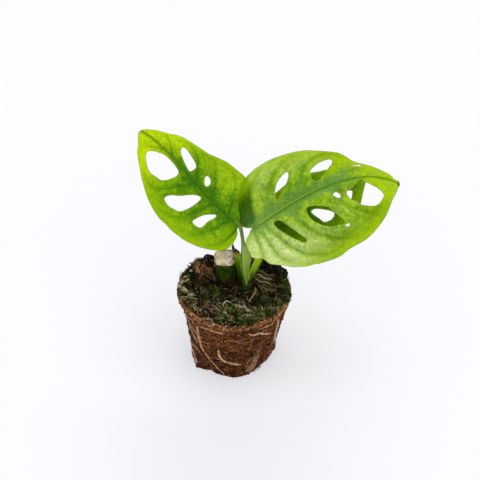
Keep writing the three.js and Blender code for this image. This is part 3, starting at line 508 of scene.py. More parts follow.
LEAF_LEFT["veins"] = [
    [[0.4, 2.5], [0.9, 8], [2.4, 14], [6, 19]], [[6, 1], [8.2, 8], [10.2, 14], [13.2, 19.5], [18.5, 23]],
    [[18, 1], [19.8, 8], [21.4, 14], [25, 20], [32, 23.4]], [[32.2, 1], [36.3, 8], [39, 13.5], [43, 17.6], [49, 18.4], [57, 14.6]],
    [[58, .6], [62.5, 3.2], [66.5, 5.4]],
    [[1.5, -2.5], [3, -9], [7, -15], [13, -19.5]], [[8.4, -1], [12, -8], [16.5, -14], [23.5, -19], [32, -18]],
    [[20, -1], [24.5, -6.5], [29, -11], [36, -15.6], [44, -13.2]], [[32.6, -1], [37, -5.4], [42.5, -10], [50, -11.8], [58, -8.4]],
    [[52, -.8], [56, -4], [61, -6], [67, -3.6]],
]
LEAF_RIGHT["veins"] = [
    [[-.8, -1.6], [-1.6, -5.4], [-2.9, -10.6], [-4.2, -15.2]], [[.6, -1.4], [2.6, -7.3], [2.7, -13.3], [3.3, -19.1], [6.4, -24.6]],
    [[5.4, -1.2], [8, -8.8], [10.2, -15.7], [12.6, -20.8], [15.8, -25.2], [21, -29], [29, -32], [37, -31.4]],
    [[19, -.8], [21.8, -7.2], [23.3, -12.9], [26.1, -18.6], [30.7, -23.6], [38, -28], [46.2, -30.2], [54, -29.4], [60, -26.8]],
    [[41.6, -.8], [43.2, -3.6], [46.4, -11.0], [50.4, -15.6], [56.1, -18.4], [63, -19.4], [69.4, -17.4]],
    [[72.2, -.8], [75.4, -4.5], [77.6, -8]],
    [[.4, 1.6], [2.4, 8], [5.4, 15], [10, 21.5], [16.5, 25.6]], [[-1.4, 1.8], [-2, 7.6], [.2, 14], [4, 20]], [[-2.6, 1.4], [-4.4, 5.4], [-4.6, 10], [-2.6, 14.6]], [[8.6, 1.2], [12.8, 8], [17.4, 14.5], [23, 20.6], [30.5, 24.6], [38, 23.4]],
    [[26.6, 1.2], [31, 8], [35.4, 13.5], [41, 18], [48.5, 18.6], [55, 14]], [[49, 1], [53.5, 5.6], [58.5, 9.4], [66, 5.6]], [[66, .8], [70, 3], [75.4, 2.4]],
]
LEAF_BACK["veins"] = [
    [[4, -1], [7, -7], [12, -12]], [[14, -1], [18.5, -8], [24, -14], [31, -17]], [[26, -1], [27.4, -8], [31, -14.2], [38, -16.4]],
    [[38.6, -.8], [39.6, -6], [43, -10.6], [49, -12]], [[54, -.6], [56, -3.4], [58.6, -4]],
    [[4, 1], [8, 8], [14, 13]], [[15, 1], [20, 8.5], [27, 14.2], [34, 14.4]], [[28, 1], [33, 8], [40, 12.4], [46, 10.6]], [[42, .8], [47, 6], [53.5, 7.6]], [[54, .6], [58, 3]],
]


def blade_at(L, u, v, w):
    nx, e0, e1, kp0, kp1, kn0, kn1 = L["face"]
    c = np.array(L["midrib"])
    M = np.stack([c[i, 0] + u * (c[i, 1] + u * (c[i, 2] + u * c[i, 3])) for i in range(3)], 1)
    T = unit(np.stack([c[i, 1] + u * (2 * c[i, 2] + u * 3 * c[i, 3]) for i in range(3)], 1))
    e = np.radians(e0 + e1 * u)
    N = np.stack([np.full_like(e, nx), -np.cos(e), np.sin(e)], 1)
    N = unit(N - T * np.sum(N * T, 1, keepdims=True))
    S = np.cross(N, T)
    k = np.where(v > 0, kp0 + kp1 * np.maximum(u, 0), kn0 + kn1 * np.maximum(u, 0))
    a = k * v
    n = N * np.cos(a)[:, None] + S * np.sin(a)[:, None]
    return M + S * (np.sin(a) / k)[:, None] - N * np.abs((1 - np.cos(a)) / k)[:, None] + n * np.asarray(w)[:, None]


def half_width(L, u, side):
    m = even(spline(L["margin"], True), 0.5, True, dims=2)
    m = m[m[:, 1] * side > 0.4]
    us = np.linspace(m[:, 0].min(), m[:, 0].max(), 90)
    hw = np.array([np.abs(m[np.abs(m[:, 0] - x) < 1.2, 1]).max(initial=0.3) for x in us])
    return np.interp(u, us, hw)


def triangulate(loops, step, seed):
    """Triangles over the first loop less the others, with a jittered inner grid."""
    rng = np.random.default_rng(seed)
    P = np.concatenate(loops)
    edges, k = [], 0
    for l in loops:
        edges += [(k + i, k + (i + 1) % len(l)) for i in range(len(l))]
        k += len(l)
    lo, hi = P.min(0), P.max(0)
    rows = np.arange(lo[1], hi[1], step * 0.866)
    grid = np.array([(x + (step / 2 if r % 2 else 0), y) for r, y in enumerate(rows) for x in np.arange(lo[0], hi[0], step)])
    grid += (rng.random(grid.shape) - 0.5) * step * 0.3
    keep = inside(loops[0], grid)
    for h in loops[1:]:
        keep &= ~inside(h, grid)
    grid = grid[keep]
    d = np.min([distance_to(l, grid)[0] for l in loops], 0)
    grid = grid[d > step * 0.6]
    P = np.vstack([P, grid])
    vs, _, fs, _, _, _ = geometry.delaunay_2d_cdt([Vector(p) for p in P], edges, [], 0, 1e-6)
    V = np.array([(p.x, p.y) for p in vs])
    F = np.array([list(f) for f in fs])
    mid = V[F].mean(1)
    ok = inside(loops[0], mid)
    for h in loops[1:]:
        ok &= ~inside(h, mid)
    F = F[ok]
    a, b, c = V[F[:, 0]], V[F[:, 1]], V[F[:, 2]]
    area = (b[:, 0] - a[:, 0]) * (c[:, 1] - a[:, 1]) - (c[:, 0] - a[:, 0]) * (b[:, 1] - a[:, 1])
    F[area < 0] = F[area < 0][:, ::-1]
    F = F[np.abs(area) > 1e-9]
    used = np.unique(F)
    remap = np.full(len(V), -1)
    remap[used] = np.arange(len(used))
    return V[used], remap[F]


def free_edges(F):
    e = np.concatenate([F[:, [0, 1]], F[:, [1, 2]], F[:, [2, 0]]])
    key = set(map(tuple, e.tolist()))
    return np.array([p for p in key if (p[1], p[0]) not in key]) if len(e) else e


def leaf(name, L, mat, replaces, quilt, zones, seed, step=0.56, rib=1.0, bend=None):
    margin = even(spline(L["margin"], True), step, True, dims=2)
    holes = [even(spline(h, True), step * 0.85, True, least=9, dims=2) for h in L["holes"].values()]
    V, F = triangulate([margin] + holes, step, seed)
    u, v = V[:, 0], V[:, 1]
    rim = distance_to(margin, V)[0]
    hole = np.min([distance_to(h, V)[0] for h in holes], 0)
    edge = np.minimum(rim, hole)
    mid = np.where(u > 0, np.abs(v), np.hypot(u, v))
    mid = np.where(u > L["length"], np.hypot(u - L["length"], v), mid)
    lat = np.full(len(V), 99.0)
    fade = np.ones(len(V))
    for line in L["veins"]:
        p = even(spline(line), 1.0, dims=2)
        same = (v * p[1, 1] > -0.5)
        d, t = distance_to(p, V, closed=False)
        d = np.where(same, d, 99.0)
        closer = d < lat
        fade = np.where(closer, 1 - 0.72 * t, fade)
        lat = np.minimum(lat, d)
    side = np.sign(v + 1e-9)
    hw = np.where(side > 0, half_width(L, u, 1), half_width(L, u, -1))
    r = np.clip(np.abs(v) / np.maximum(hw - 0.5, 1.5), 0, 1.1)
    phi = u - lerp(0.1, 0.7, np.clip(u / L["length"], 0, 1)) * np.abs(v) - 16 * r ** 4
    base = np.exp(-(np.hypot(u, v) / 6.0) ** 2)
    # relief: the blade swells between the veins, which lie sunk in its face
    q = np.where(v > 0, quilt[0], quilt[1])
    low = fbm(np.stack([u / 13, v / 11, np.full_like(u, seed)], 1), 2, 0.5, seed)
    small = fbm(np.stack([u / 3.1, v / 2.6, np.full_like(u, seed)], 1), 3, 0.5, seed + 3)
    ripple = noise3(np.stack([phi / 2.1, np.abs(v) / 9, np.full_like(u, seed + .5)], 1), seed + 5)
    swell = smooth(lat, 0.2, 4.4) * smooth(mid, 0.3, 3.4) * smooth(edge, -0.5, 4.0)
    away = smooth(mid, 2, 12)
    w = q * (swell * (0.85 + 0.35 * small) - 0.35) + 0.75 * low * away + 0.07 * small + 0.05 * ripple * smooth(edge, 0, 2)
    w -= 0.35 * (1 - smooth(rim, 0, 3.2)) + 0.14 * (1 - smooth(hole, 0, 1.6))
    if bend is not None:
        w -= bend(u, v)
    top = w - 0.16 * fade * np.exp(-(lat / 0.5) ** 2) - 0.34 * np.exp(-(mid / 1.25) ** 2) + 0.2 * rib * np.exp(-(mid / 0.36) ** 2)
    thick = 0.13 + 0.24 * smooth(edge, 0, 1.3)
    size = lerp(1.0, 0.16, np.clip(u / L["length"], 0, 1) ** 0.75)
    ridge = np.exp(-(mid / (0.75 * size + 0.12)) ** 2) * (1.25 * size) * smooth(L["length"] - u, -0.5, 5) + 0.3 * fade * np.exp(-(lat / 0.42) ** 2) * smooth(edge, 0, 1.5)
    top_w, low_w = top + thick / 2, np.minimum(w - 0.34 * np.exp(-(mid / 1.25) ** 2), top) - thick / 2 - ridge
    A, B = blade_at(L, u, v, top_w), blade_at(L, u, v, low_w)
    n = len(V)
    E = free_edges(F)
    walls = np.stack([E[:, 0], E[:, 0] + n, E[:, 1] + n, E[:, 1]], 1)
    both = lambda x: np.r_[x, x]
    zone = {k: both(np.clip(f(u, v), 0, 1)) for k, f in zones.items()}
    attrs = {"lf_u": both(u), "lf_v": both(v), "lf_mid": both(mid), "lf_lat": both(lat), "lf_fade": both(fade), "lf_rim": both(rim), "lf_hole": both(hole),
             "lf_phi": both(phi), "lf_base": both(base), "lf_tip": both(smooth(u, L["length"] - 2.2, L["length"] - 0.2)), "lf_under": np.r_[np.zeros(n), np.ones(n)], **zone}
    return make(name, np.vstack([A, B]), [np.vstack([F, F[:, ::-1] + n]), walls], mat, replaces, attrs)


def leaf_material(name, deep, body, bright, margin, midzone, midline, mintcol, under, mint_gain=1.0, glow=0.16, rough=0.5, speck=0.5, line_in=30.0, deep_and_shadow_col=None, golden=None, tip=0.9):
    m = Mat(name)
    u, v, mid, lat, fade, rim, hole, phi, mint, dark_and_painted_shading, gold, under_f = [m.attr("lf_" + k) for k in ("u", "v", "mid", "lat", "fade", "rim", "hole", "phi", "mint", "dark_and_painted_shading", "gold", "under")]
    inv = lambda x: m.math("SUBTRACT", 1.0, x)
    uv = m.vec(u, v, 0.0)
    along = m.vec(m.mul(phi, 1.0), m.mul(v, 0.16), 0.0)
    big = m.noise(uv, 0.085, 3, 0.55, 0.6)
    med = m.noise(uv, 0.30, 4, 0.66, 0.8)
    fine = m.noise(uv, 1.1, 4, 0.7)
    streak = m.noise(along, 0.8, 3, 0.6)
    vein2 = m.noise(along, 2.0, 2, 0.5)
    cells = m.cell(uv, 0.8)
    # body: mottled green, running a little along the veins
    tone = m.add(m.mul(big, 0.34), m.add(m.mul(med, 0.40), m.mul(streak, 0.26)))
    col = m.ramp(tone, [(0.41, deep), (0.5, body), (0.585, bright)])
    patch = m.noise(uv, 0.21, 4, 0.72, 1.2)
    col = m.mix(m.mul(m.step(patch, 0.49, 0.42), 0.45), col, deep)
    col = m.mix(m.mul(m.step(patch, 0.53, 0.60), 0.45), col, bright)
    # yellow-green towards the margin and in the golden zones, uneven: partly the blade's own colour, partly painted
    # glow of light shining through the thin blade
    to_rim = m.step(m.add(rim, m.mul(m.math("SUBTRACT", med, 0.5), 12.0)), 9.5, 0.5)
    col = m.mix(m.mul(to_rim, 0.85), col, margin)
    col = m.mix(m.mul(gold, m.step(m.add(med, m.mul(fine, 0.5)), 0.55, 0.85, 0.6, 1.0)), col, golden or margin)
    # pale mint marbling, strongest between the side veins
    marb = m.step(m.add(m.add(m.mul(med, 0.46), m.mul(fine, 0.3)), m.mul(streak, 0.24)), 0.44, 0.58)
    mint_f = m.mul(m.math("MULTIPLY", mint, m.add(m.mul(marb, 0.4), 0.58), clamp=True), m.step(lat, 0.3, 2.6, 0.45, 1.0))
    col = m.mix(m.mul(mint_f, mint_gain), col, mintcol)
    # pale yellow flecks
    fleck = m.mul(m.step(cells["Distance"], 0.42, 0.14), m.step(fine, 0.47, 0.6))
    col = m.mix(m.mul(fleck, m.mul(m.add(m.add(mint, m.mul(gold, 0.6)), 0.25), speck)), col, C(216, 226, 100))
    # blotches of plain deeper green
    dark = m.mul(m.step(m.noise(uv, 0.62, 3, 0.7), 0.53, 0.66), 0.5)
    col = m.mix(m.mul(dark, inv(m.mul(to_rim, 0.5))), col, deep)
    lines = m.step(m.math("ABSOLUTE", m.math("SUBTRACT", vein2, 0.5)), 0.05, 0.0)
    col = m.mix(m.mul(lines, 0.28), col, deep)
    # side-vein furrows: bluish near the midrib, plain deep green further out
    inner = m.step(mid, 15.0, 5.0)
    furrow_col = m.mix(inner, deep, midzone)
    pale = m.math("MULTIPLY", mint, 0.8, clamp=True)
    lat_w = m.mul(lat, m.add(m.mul(pale, 1.3), 1.0))
    furrow = m.add(m.mul(m.step(m.add(lat_w, m.mul(m.math("SUBTRACT", med, 0.5), 2.5)), 3.0, 0.2), 0.5), m.mul(m.step(lat_w, 1.0, 0.1), 0.46))
    furrow = m.mul(furrow, m.mul(inv(m.mul(pale, 0.25)), inv(m.mul(gold, 0.6))))
    col = m.mix(m.mul(furrow, fade), col, furrow_col)
    col = m.mix(m.mul(m.step(lat, 0.4, 0.12), m.mul(fade, m.mul(inner, 0.35))), col, midline)
    # bluish green beside the midrib
    near_mid = m.mul(m.step(m.add(mid, m.mul(m.math("SUBTRACT", med, 0.5), 9.0)), 7.0, 0.2), m.step(u, 70.0, 40.0))
    col = m.mix(m.mul(near_mid, 0.8), col, midzone)
    side = m.step(v, -0.25, 0.25)
    col = m.mix(m.mul(m.step(mid, 2.0, 0.2), m.add(m.mul(inv(side), 0.5), 0.25)), col, deep)
    col = m.mix(m.mul(m.step(m.math("ABSOLUTE", m.math("SUBTRACT", v, 0.35)), 0.55, 0.15), m.step(u, line_in + 16.0, line_in - 4.0)), col, midline)
    col = m.mix(m.mul(m.step(m.math("ABSOLUTE", m.add(v, 0.3)), 0.6, 0.15), m.mul(inv(m.mul(gold, 0.55)), 0.7)), col, deep)
    # darker stretches: partly the blade's own deeper green, partly painted shade where a neighbouring leaf overlaps and
    # where the lobe turns away from the light
    col = m.mix(dark_and_painted_shading, col, m.mix(streak, deep_and_shadow_col or deep, m.mix(m.math("SUBTRACT", 1.0, m.mul(inner, 0.4)), midzone, deep_and_shadow_col or deep)))
    # fine light and dark grain all over
    grain = m.noise(uv, 0.9, 4, 0.75, 0.4)
    col = m.mix(m.mul(m.step(grain, 0.50, 0.40), 0.3), col, m.mix(0.6, col, deep))
    col = m.mix(m.mul(m.step(grain, 0.53, 0.64), 0.32), col, m.mix(0.5, col, C(206, 220, 76)))
    # thin pale rim of the margin and of the holes, with a dry brown line in places
    edge = m.math("MINIMUM", rim, hole)
    col = m.mix(m.mul(m.step(edge, 0.6, 0.25), 0.4), col, margin)
    col = m.mix(m.mul(m.step(edge, 0.32, 0.08), m.step(m.noise(uv, 0.25, 2), 0.42, 0.58)), col, C(128, 112, 50))
    col = m.mix(m.mul(m.step(m.attr("lf_tip"), 0.35, 0.75), tip), col, C(92, 66, 30))
    low = m.mix(m.step(lat, 0.9, 0.2), m.mix(0.45, col, under), C(168, 190, 104))
    low = m.mix(m.step(mid, 1.3, 0.6), low, C(160, 184, 92))
    col = m.mix(under_f, col, low)
    rough_f = m.math("MULTIPLY_ADD", fine, 0.22, rough - 0.11)
    rough_f = m.add(rough_f, m.mul(under_f, 0.16))
    h = m.add(m.mul(m.noise(uv, 2.6, 3, 0.6), 0.55), m.add(m.mul(vein2, 0.6), m.mul(m.cell(uv, 2.2)["Distance"], 0.3)))
    m.set(Base_Color=col, Roughness=rough_f, Normal=m.bump(h, 0.35, 0.00025))
    m.set(Subsurface_Weight=glow, Subsurface_Scale=0.0011, Specular_IOR_Level=0.03)
    m.b.inputs["Subsurface Radius"].default_value = (0.9, 1.0, 0.12)
    return m.m


mat_leaf_left = leaf_material("leaf_mint_left", C(62, 116, 0), C(108, 158, 0), C(148, 190, 0), C(149, 187, 0), C(48, 104, 4), C(36, 88, 6), C(156, 194, 50), C(132, 166, 70), 0.5, speck=0.3, line_in=34.0, deep_and_shadow_col=C(50, 102, 2), golden=C(196, 222, 0), tip=0.2)
mat_leaf_right = leaf_material("leaf_mint_right", C(78, 128, 2), C(130, 172, 6), C(164, 200, 12), C(154, 190, 0), C(103, 149, 75), C(154, 184, 60), C(226, 240, 160), C(150, 182, 90), 1.0, speck=0.42, line_in=30.0, deep_and_shadow_col=C(34, 78, 2), golden=C(176, 208, 0))
mat_leaf_back = leaf_material("leaf_shaded_back", C(62, 112, 0), C(94, 146, 0), C(134, 174, 0), C(150, 188, 0), C(56, 106, 10), C(96, 140, 40), C(150, 190, 60), C(120, 156, 70), 0.3, speck=0.2)

spot = lambda u, v, cu, cv, su, sv: np.exp(-((u - cu) / su) ** 2 - ((v - cv) / sv) ** 2)
# left leaf: the darker spots between the side veins are its own deeper green; the spot at u 8, v -8 and the band on the
# v < 0 side near the base are painted shadow cast by the right leaf's lobe
left_zones = {
    "lf_mint": lambda u, v: 0.3 * spot(u, v, 14, 12, 12, 9) + 0.3 * spot(u, v, 22, -14, 12, 6),
    "lf_dark_and_painted_shading": lambda u, v: 0.4 * spot(u, v, 21, 9, 3, 9) + 0.4 * spot(u, v, 34, 7, 5, 6) + 0.45 * spot(u, v, 22, -4, 5, 3.4) + 0.45 * spot(u, v, 35, -5, 3, 5) + 0.3 * spot(u, v, 31, -10, 3, 2.4) + 0.35 * spot(u, v, 11, 3, 5, 4) + 0.25 * spot(u, v, 24, 0, 14, 4) + 0.35 * spot(u, v, 8, -8, 5, 4) + 0.35 * smooth(v, -1, -7) * smooth(u, 16, 6),
    "lf_gold": lambda u, v: 1.0 * smooth(u, 40, 60) + 0.15 * spot(u, v, 22, 20, 18, 5) + 0.4 * spot(u, v, 22, -15, 14, 6),
}
# right leaf: the dark upper lobe by the base is painted shade where the lobe turns away from the light (the blade is
# also bent down there), with the pale mint taken out of it; the small dark spot at u 48.6, v -5.6 is a painted dark
# patch for the shaded back leaf seen through hole RF; the other darker spots are the blade's own deeper green
right_zones = {
    "lf_mint": lambda u, v: 1.35 * spot(u, v, -3, -17, 13, 15) + 0.62 * spot(u, v, 18, -22, 14, 10) + 0.08 * spot(u, v, 44, -24, 14, 5) + 0.14 * spot(u, v, 13, 14, 9, 11) + 0.2 * spot(u, v, 34, 20, 12, 8) + 0.3 * spot(u, v, 17, 25, 9, 6) + 0.14 * spot(u, v, 46, -14, 12, 6) - 0.8 * smooth(2 + 0.35 * v - u, 0, 4) * smooth(v, 0, 3),
    "lf_dark_and_painted_shading": lambda u, v: 0.95 * smooth(4.4 + 0.33 * v - u, 0, 4.5) * smooth(v, 0.4, 4) * (1 - 0.75 * smooth(v, 14, 23)) + 0.15 * spot(u, v, 47, -4, 3.4, 2.6) + 0.45 * spot(u, v, 48.6, -5.6, 1.6, 2.4) + 0.35 * spot(u, v, 59.5, 5, 3.5, 1.6) + 0.36 * spot(u, v, 38, -27.5, 15, 3.4) + 0.3 * spot(u, v, 60, -21, 9, 2.6) + 0.42 * spot(u, v, 24, 2.5, 17, 5.0) + 0.12 * spot(u, v, 44, 2, 9, 4) + 0.15 * spot(u, v, 66, -18, 8, 6),
    # the strip at u 8, v 12 on the upper lobe (weight 0.5) is painted light where the lobe catches it
    "lf_gold": lambda u, v: 0.95 * smooth(u, 54, 68) * smooth(v, -16, -8) + 0.5 * spot(u - 0.3 * (v - 10), v, 8.2, 12, 3.0, 11) + 0.7 * spot(u, v, 56, 11, 12, 5) + 0.5 * spot(u, v, 36, 24, 16, 7) + 0.75 * spot(u, v, 50, -31, 22, 4.5) + 0.45 * spot(u, v, 50, -12, 5, 4) + 0.3 * spot(u, v, 66, -20, 10, 9),
}
back_zones = {"lf_mint": lambda u, v: 0.2 * spot(u, v, 20, -12, 12, 6), "lf_dark_and_painted_shading": lambda u, v: 0.3 * spot(u, v, 12, 0, 12, 9), "lf_gold": lambda u, v: 0.5 * smooth(u, 40, 56)}
leaf("leaf_left_blade", LEAF_LEFT, mat_leaf_left, ["leaf_left"], (0.34, 0.34), left_zones, 3, rib=0.6)
leaf("leaf_right_blade", LEAF_RIGHT, mat_leaf_right, ["leaf_right"], (0.4, 0.85), right_zones, 7, bend=lambda u, v: 0.017 * np.maximum(0, 3 + 0.33 * v - u) ** 2 * smooth(v, 0, 5))
leaf("leaf_back_blade", LEAF_BACK, mat_leaf_back, ["leaf_back"], (0.4, 0.4), back_zones, 11, step=0.66)


# ---------------------------------------------------------------------- stems
def Cg(r, g, b, gain=1.0):
    c = C(r, g, b)
    return (min(1.0, c[0] * gain), min(1.0, c[1] * gain), min(1.0, c[2] * gain), 1.0)


def under_midrib(L, us, drop):
    """Points just below the midrib near the leaf base."""
    us = np.asarray(us, float)
    return blade_at(L, us, np.zeros(len(us)), -np.asarray(drop, float))


def stalk(name, stations, sides, per, mat, replaces, lines=(), seed=1, ribs=0.05):
    """A leaf stalk. Each station: x, y, z, half-width, half-depth, groove depth.
    lines: rows of (z, x) for the pale raised edges on its front."""
    P = spline(stations, per=per)
    Cn, a, b, g = P[:, :3], P[:, 3], P[:, 4], P[:, 5]
    T = unit(np.gradient(Cn, axis=0))
    E1 = unit(np.array([1.0, 0, 0]) - T * T[:, :1])
    E2 = np.cross(T, E1)
    q = 2 * np.pi * np.arange(sides) / sides
    c, s = np.cos(q), np.sin(q)
    front = smooth(-s, 0.0, 0.35)
    X = a[:, None] * c[None]
    Y = b[:, None] * s[None] * (1 - front[None] * g[:, None] * np.exp(-(c[None] / 0.62) ** 4))
    R = Cn[:, None] + E1[:, None] * X[..., None] + E2[:, None] * Y[..., None]
    N = unit(E1[:, None] * (c[None] / a[:, None])[..., None] + E2[:, None] * (s[None] / b[:, None])[..., None])
    flat = R.reshape(-1, 3)
    along = np.repeat(np.arange(len(P)) / (len(P) - 1.0), sides)
    cc = np.tile(c, len(P))
    n = 0.12 * fbm(np.stack([cc * 2.2, flat[:, 1] * 0.3, flat[:, 2] * 0.16], 1), 2, 0.5, seed)
    rib = ribs * noise3(np.stack([cc * 7.0, np.tile(s, len(P)) * 7.0, flat[:, 2] * 0.12], 1), seed + 4)
    dist = np.full(len(flat), 9.0)
    for line in lines:
        line = np.array(line)
        order = np.argsort(line[:, 0])
        lx = np.interp(flat[:, 2], line[order, 0], line[order, 1], left=99, right=99)
        dist = np.minimum(dist, np.where(np.tile(front, len(P)) > 0.1, np.abs(flat[:, 0] - lx), 9.0))
    ridge = 0.16 * np.exp(-(dist / 0.24) ** 2)
    R = (flat + N.reshape(-1, 3) * (n + rib + ridge)[:, None]).reshape(R.shape)
    V, F = loft(R)
    ext = lambda x, e0, e1: np.r_[x, e0, e1]
    attrs = {"st_z": V[:, 2], "st_c": ext(cc, 0, 0), "st_f": ext(np.tile(front, len(P)), 0, 0), "st_d": ext(dist, 9, 9), "st_t": ext(along, 0, 1)}
    return make(name, V, F, mat, replaces, attrs)


def stalk_material(name, stops, side_shading_l, side_shading_r, line, rough=0.42, glow=0.06, gain=1.0, streaky=0.4):
    """stops: (height in mm, colour); then the colour and strength on the left flank and on the right flank, painted
    light and shade for how the light falls across the round stalk.
    """
    m = Mat(name)
    z, c, d = m.attr("st_z"), m.attr("st_c"), m.attr("st_d")
    v = m.vec(m.mul(c, 2.6), m.mul(z, 0.07), m.attr("st_f"))
    st = m.noise(v, 3.2, 4, 0.65)
    st2 = m.noise(m.vec(m.mul(c, 6.0), m.mul(z, 0.10), 0.0), 4.2, 3, 0.6)
    blot = m.noise(m.obj(), 420.0, 3, 0.6)
    zz = m.add(z, m.mul(m.math("SUBTRACT", blot, 0.5), 4.0))
    z0, z1 = stops[0][0], stops[-1][0]
    t = m.math("DIVIDE", m.math("SUBTRACT", zz, z0), z1 - z0)
    col = m.ramp(t, [((s[0] - z0) / (z1 - z0), Cg(*s[1], gain)) for s in stops])
    # painted light and shade on the left and right flanks, for how the light falls across the round stalk
    col = m.mix(m.mul(m.step(c, -0.25, -0.95), side_shading_l[1]), col, Cg(*side_shading_l[0], gain))
    col = m.mix(m.mul(m.step(c, 0.2, 0.95), side_shading_r[1]), col, Cg(*side_shading_r[0], gain))
    col = m.mix(m.mul(m.step(st, 0.42, 0.62), streaky), col, m.mix(0.5, col, Cg(24, 52, 4, gain)))
    col = m.mix(m.mul(m.step(st2, 0.52, 0.68), streaky), col, m.mix(0.45, col, Cg(190, 205, 130, gain)))
    col = m.mix(m.mul(m.step(d, 0.34, 0.1), 0.7), col, Cg(*line, gain))
    # a few tiny pale and brown specks
    sp = m.cell(m.obj(), 1500.0)["Distance"]
    col = m.mix(m.mul(m.step(sp, 0.22, 0.1), 0.25), col, Cg(196, 206, 130, gain))
    br = m.mul(m.step(m.noise(m.obj(), 900.0, 2), 0.66, 0.74), 0.5)
    col = m.mix(br, col, Cg(96, 84, 34, gain))
    h = m.add(m.mul(st2, 0.7), m.mul(blot, 0.4))
    m.set(Base_Color=col, Roughness=m.math("MULTIPLY_ADD", st, 0.2, rough - 0.1), Normal=m.bump(h, 0.3, 0.00012))
    m.set(Subsurface_Weight=glow, Subsurface_Scale=0.001, Specular_IOR_Level=0.1)
    m.b.inputs["Subsurface Radius"].default_value = (0.8, 1.0, 0.15)
    return m.m


# the two flank colours of each stalk below are painted light and shade
mat_pet_left = stalk_material("petiole_grey_green", [(43, (40, 62, 6)), (47, (74, 108, 18)), (53, (124, 160, 48)), (61, (146, 178, 66)), (69, (148, 176, 82)), (73, (112, 138, 60)), (84, (96, 120, 48))],
                              ((100, 130, 30), 0.55), ((92, 122, 30), 0.4), (176, 202, 118), gain=1.2)
mat_pet_back = stalk_material("petiole_olive_green", [(44, (44, 60, 4)), (50, (70, 98, 6)), (55, (134, 172, 8)), (62, (150, 186, 14)), (72, (120, 156, 20))],
                              ((158, 190, 50), 0.5), ((60, 84, 2), 0.8), (176, 204, 84), gain=1.25, streaky=0.25)
mat_pet_front = stalk_material("petiole_hidden_green", [(44, (44, 62, 10)), (56, (84, 116, 26)), (84, (108, 140, 46))], ((72, 100, 20), 0.5), ((72, 100, 20), 0.5), (150, 178, 84), gain=1.1)

sheath_lines = [[(45, 6.9), (49.5, 6.35), (54.5, 5.75), (59.8, 5.3), (66, 4.95), (70, 4.9)], [(46, 8.0), (48.1, 7.7), (54.6, 8.25), (60, 8.95), (65, 9.2), (68, 7.9)]]
top = under_midrib(LEAF_LEFT, [0.2, 3.0, 7.0], [0.75, 0.9, 0.95])
stalk("petiole_left_stalk", [
    [6.3, 2.7, 44.0, 1.2, 0.9, 0], [6.15, 2.5, 47.0, 1.45, 0.95, 0.3], [5.95, 2.55, 50, 1.85, 0.95, 0.6], [5.92, 2.6, 54.6, 2.2, 1.0, 0.75], [6.2, 2.65, 59.9, 2.55, 1.0, 0.8],
    [6.45, 2.7, 64.3, 2.75, 0.95, 0.75], [5.95, 2.8, 68.4, 2.05, 0.92, 0.5], [5.06, 2.88, 72.4, 1.1, 0.92, 0.15], [4.40, 2.94, 77.5, 0.92, 0.88, 0], [3.95, 2.92, 80.6, 0.98, 0.95, 0],
    [*top[0], 1.0, 0.95, 0], [*top[1], 0.75, 0.8, 0], [*top[2], 0.4, 0.5, 0]], 56, 10, mat_pet_left, ["petiole_left"], sheath_lines, 3)
back_lines = [[(46, 7.5), (49, 8.3), (52, 8.75), (56, 9.9), (60, 11.5), (64, 12.9)]]
top = under_midrib(LEAF_BACK, [0.4, 3.5, 8.0], [0.7, 0.8, 0.8])
stalk("petiole_back_stalk", [
    [7.9, 4.4, 44.0, 1.1, 0.9, 0], [8.35, 4.45, 47.0, 1.2, 0.95, 0.1], [9.15, 4.55, 49.2, 1.55, 1.0, 0.3], [10.1, 4.75, 52.2, 1.95, 1.05, 0.4], [11.7, 5.1, 56.0, 2.05, 1.05, 0.4],
    [13.3, 5.6, 60.2, 2.05, 1.05, 0.4], [14.2, 6.2, 64.6, 1.55, 1.0, 0.2], [14.5, 6.7, 68.2, 1.05, 0.95, 0], [*top[0], 0.95, 0.95, 0], [*top[1], 0.7, 0.75, 0], [*top[2], 0.4, 0.5, 0]],
    44, 9, mat_pet_back, ["petiole_back"], back_lines, 5)
top = under_midrib(LEAF_RIGHT, [0.3, 3.5, 8.0], [0.75, 0.9, 0.95])
stalk("petiole_front_stalk", [
    [5.9, 5.6, 44.5, 0.9, 0.85, 0], [5.95, 5.65, 48.0, 0.95, 0.9, 0], [6.9, 6.0, 56, 0.95, 0.9, 0], [8.2, 5.9, 66, 0.92, 0.88, 0], [9.5, 4.6, 74, 0.92, 0.88, 0], [10.15, 1.9, 80.2, 0.95, 0.92, 0],
    [*top[0], 1.0, 0.95, 0], [*top[1], 0.75, 0.8, 0], [*top[2], 0.4, 0.5, 0]], 26, 9, mat_pet_front, ["petiole_front"], (), 6)

# Cataphyll: a bract that clasps the stalks from the left, its tip dry and torn.
rows = spline([[44.6, 6.4, 3.9, 2.9, 0.6, 126, 254], [47, 6.3, 3.9, 3.1, 0.62, 126, 254], [50, 6.0, 3.9, 3.3, 0.66, 126, 256], [54.5, 5.4, 4.0, 3.4, 0.66, 128, 258],
               [59.5, 4.7, 4.2, 3.5, 0.6, 134, 260], [63.0, 4.1, 4.4, 3.6, 0.5, 144, 264], [65.4, 3.7, 4.6, 3.6, 0.38, 152, 268], [67.0, 3.4, 4.7, 3.6, 0.28, 152, 270], [68.2, 3.2, 4.8, 3.7, 0.2, 154, 268]], per=10)
nA = 40
edge_n = fbm(np.stack([rows[:, 0] * 0.55, np.zeros(len(rows)), np.zeros(len(rows))], 1), 3, 0.6, 5)
edge_m = fbm(np.stack([rows[:, 0] * 0.55, np.zeros(len(rows)), np.zeros(len(rows))], 1), 3, 0.6, 9)
dry = smooth(rows[:, 0], 64.6, 67.2)
a0 = rows[:, 5] + dry * 9 * edge_n
a1 = rows[:, 6] + dry * 10 * edge_m
rings, ct_a = [], []
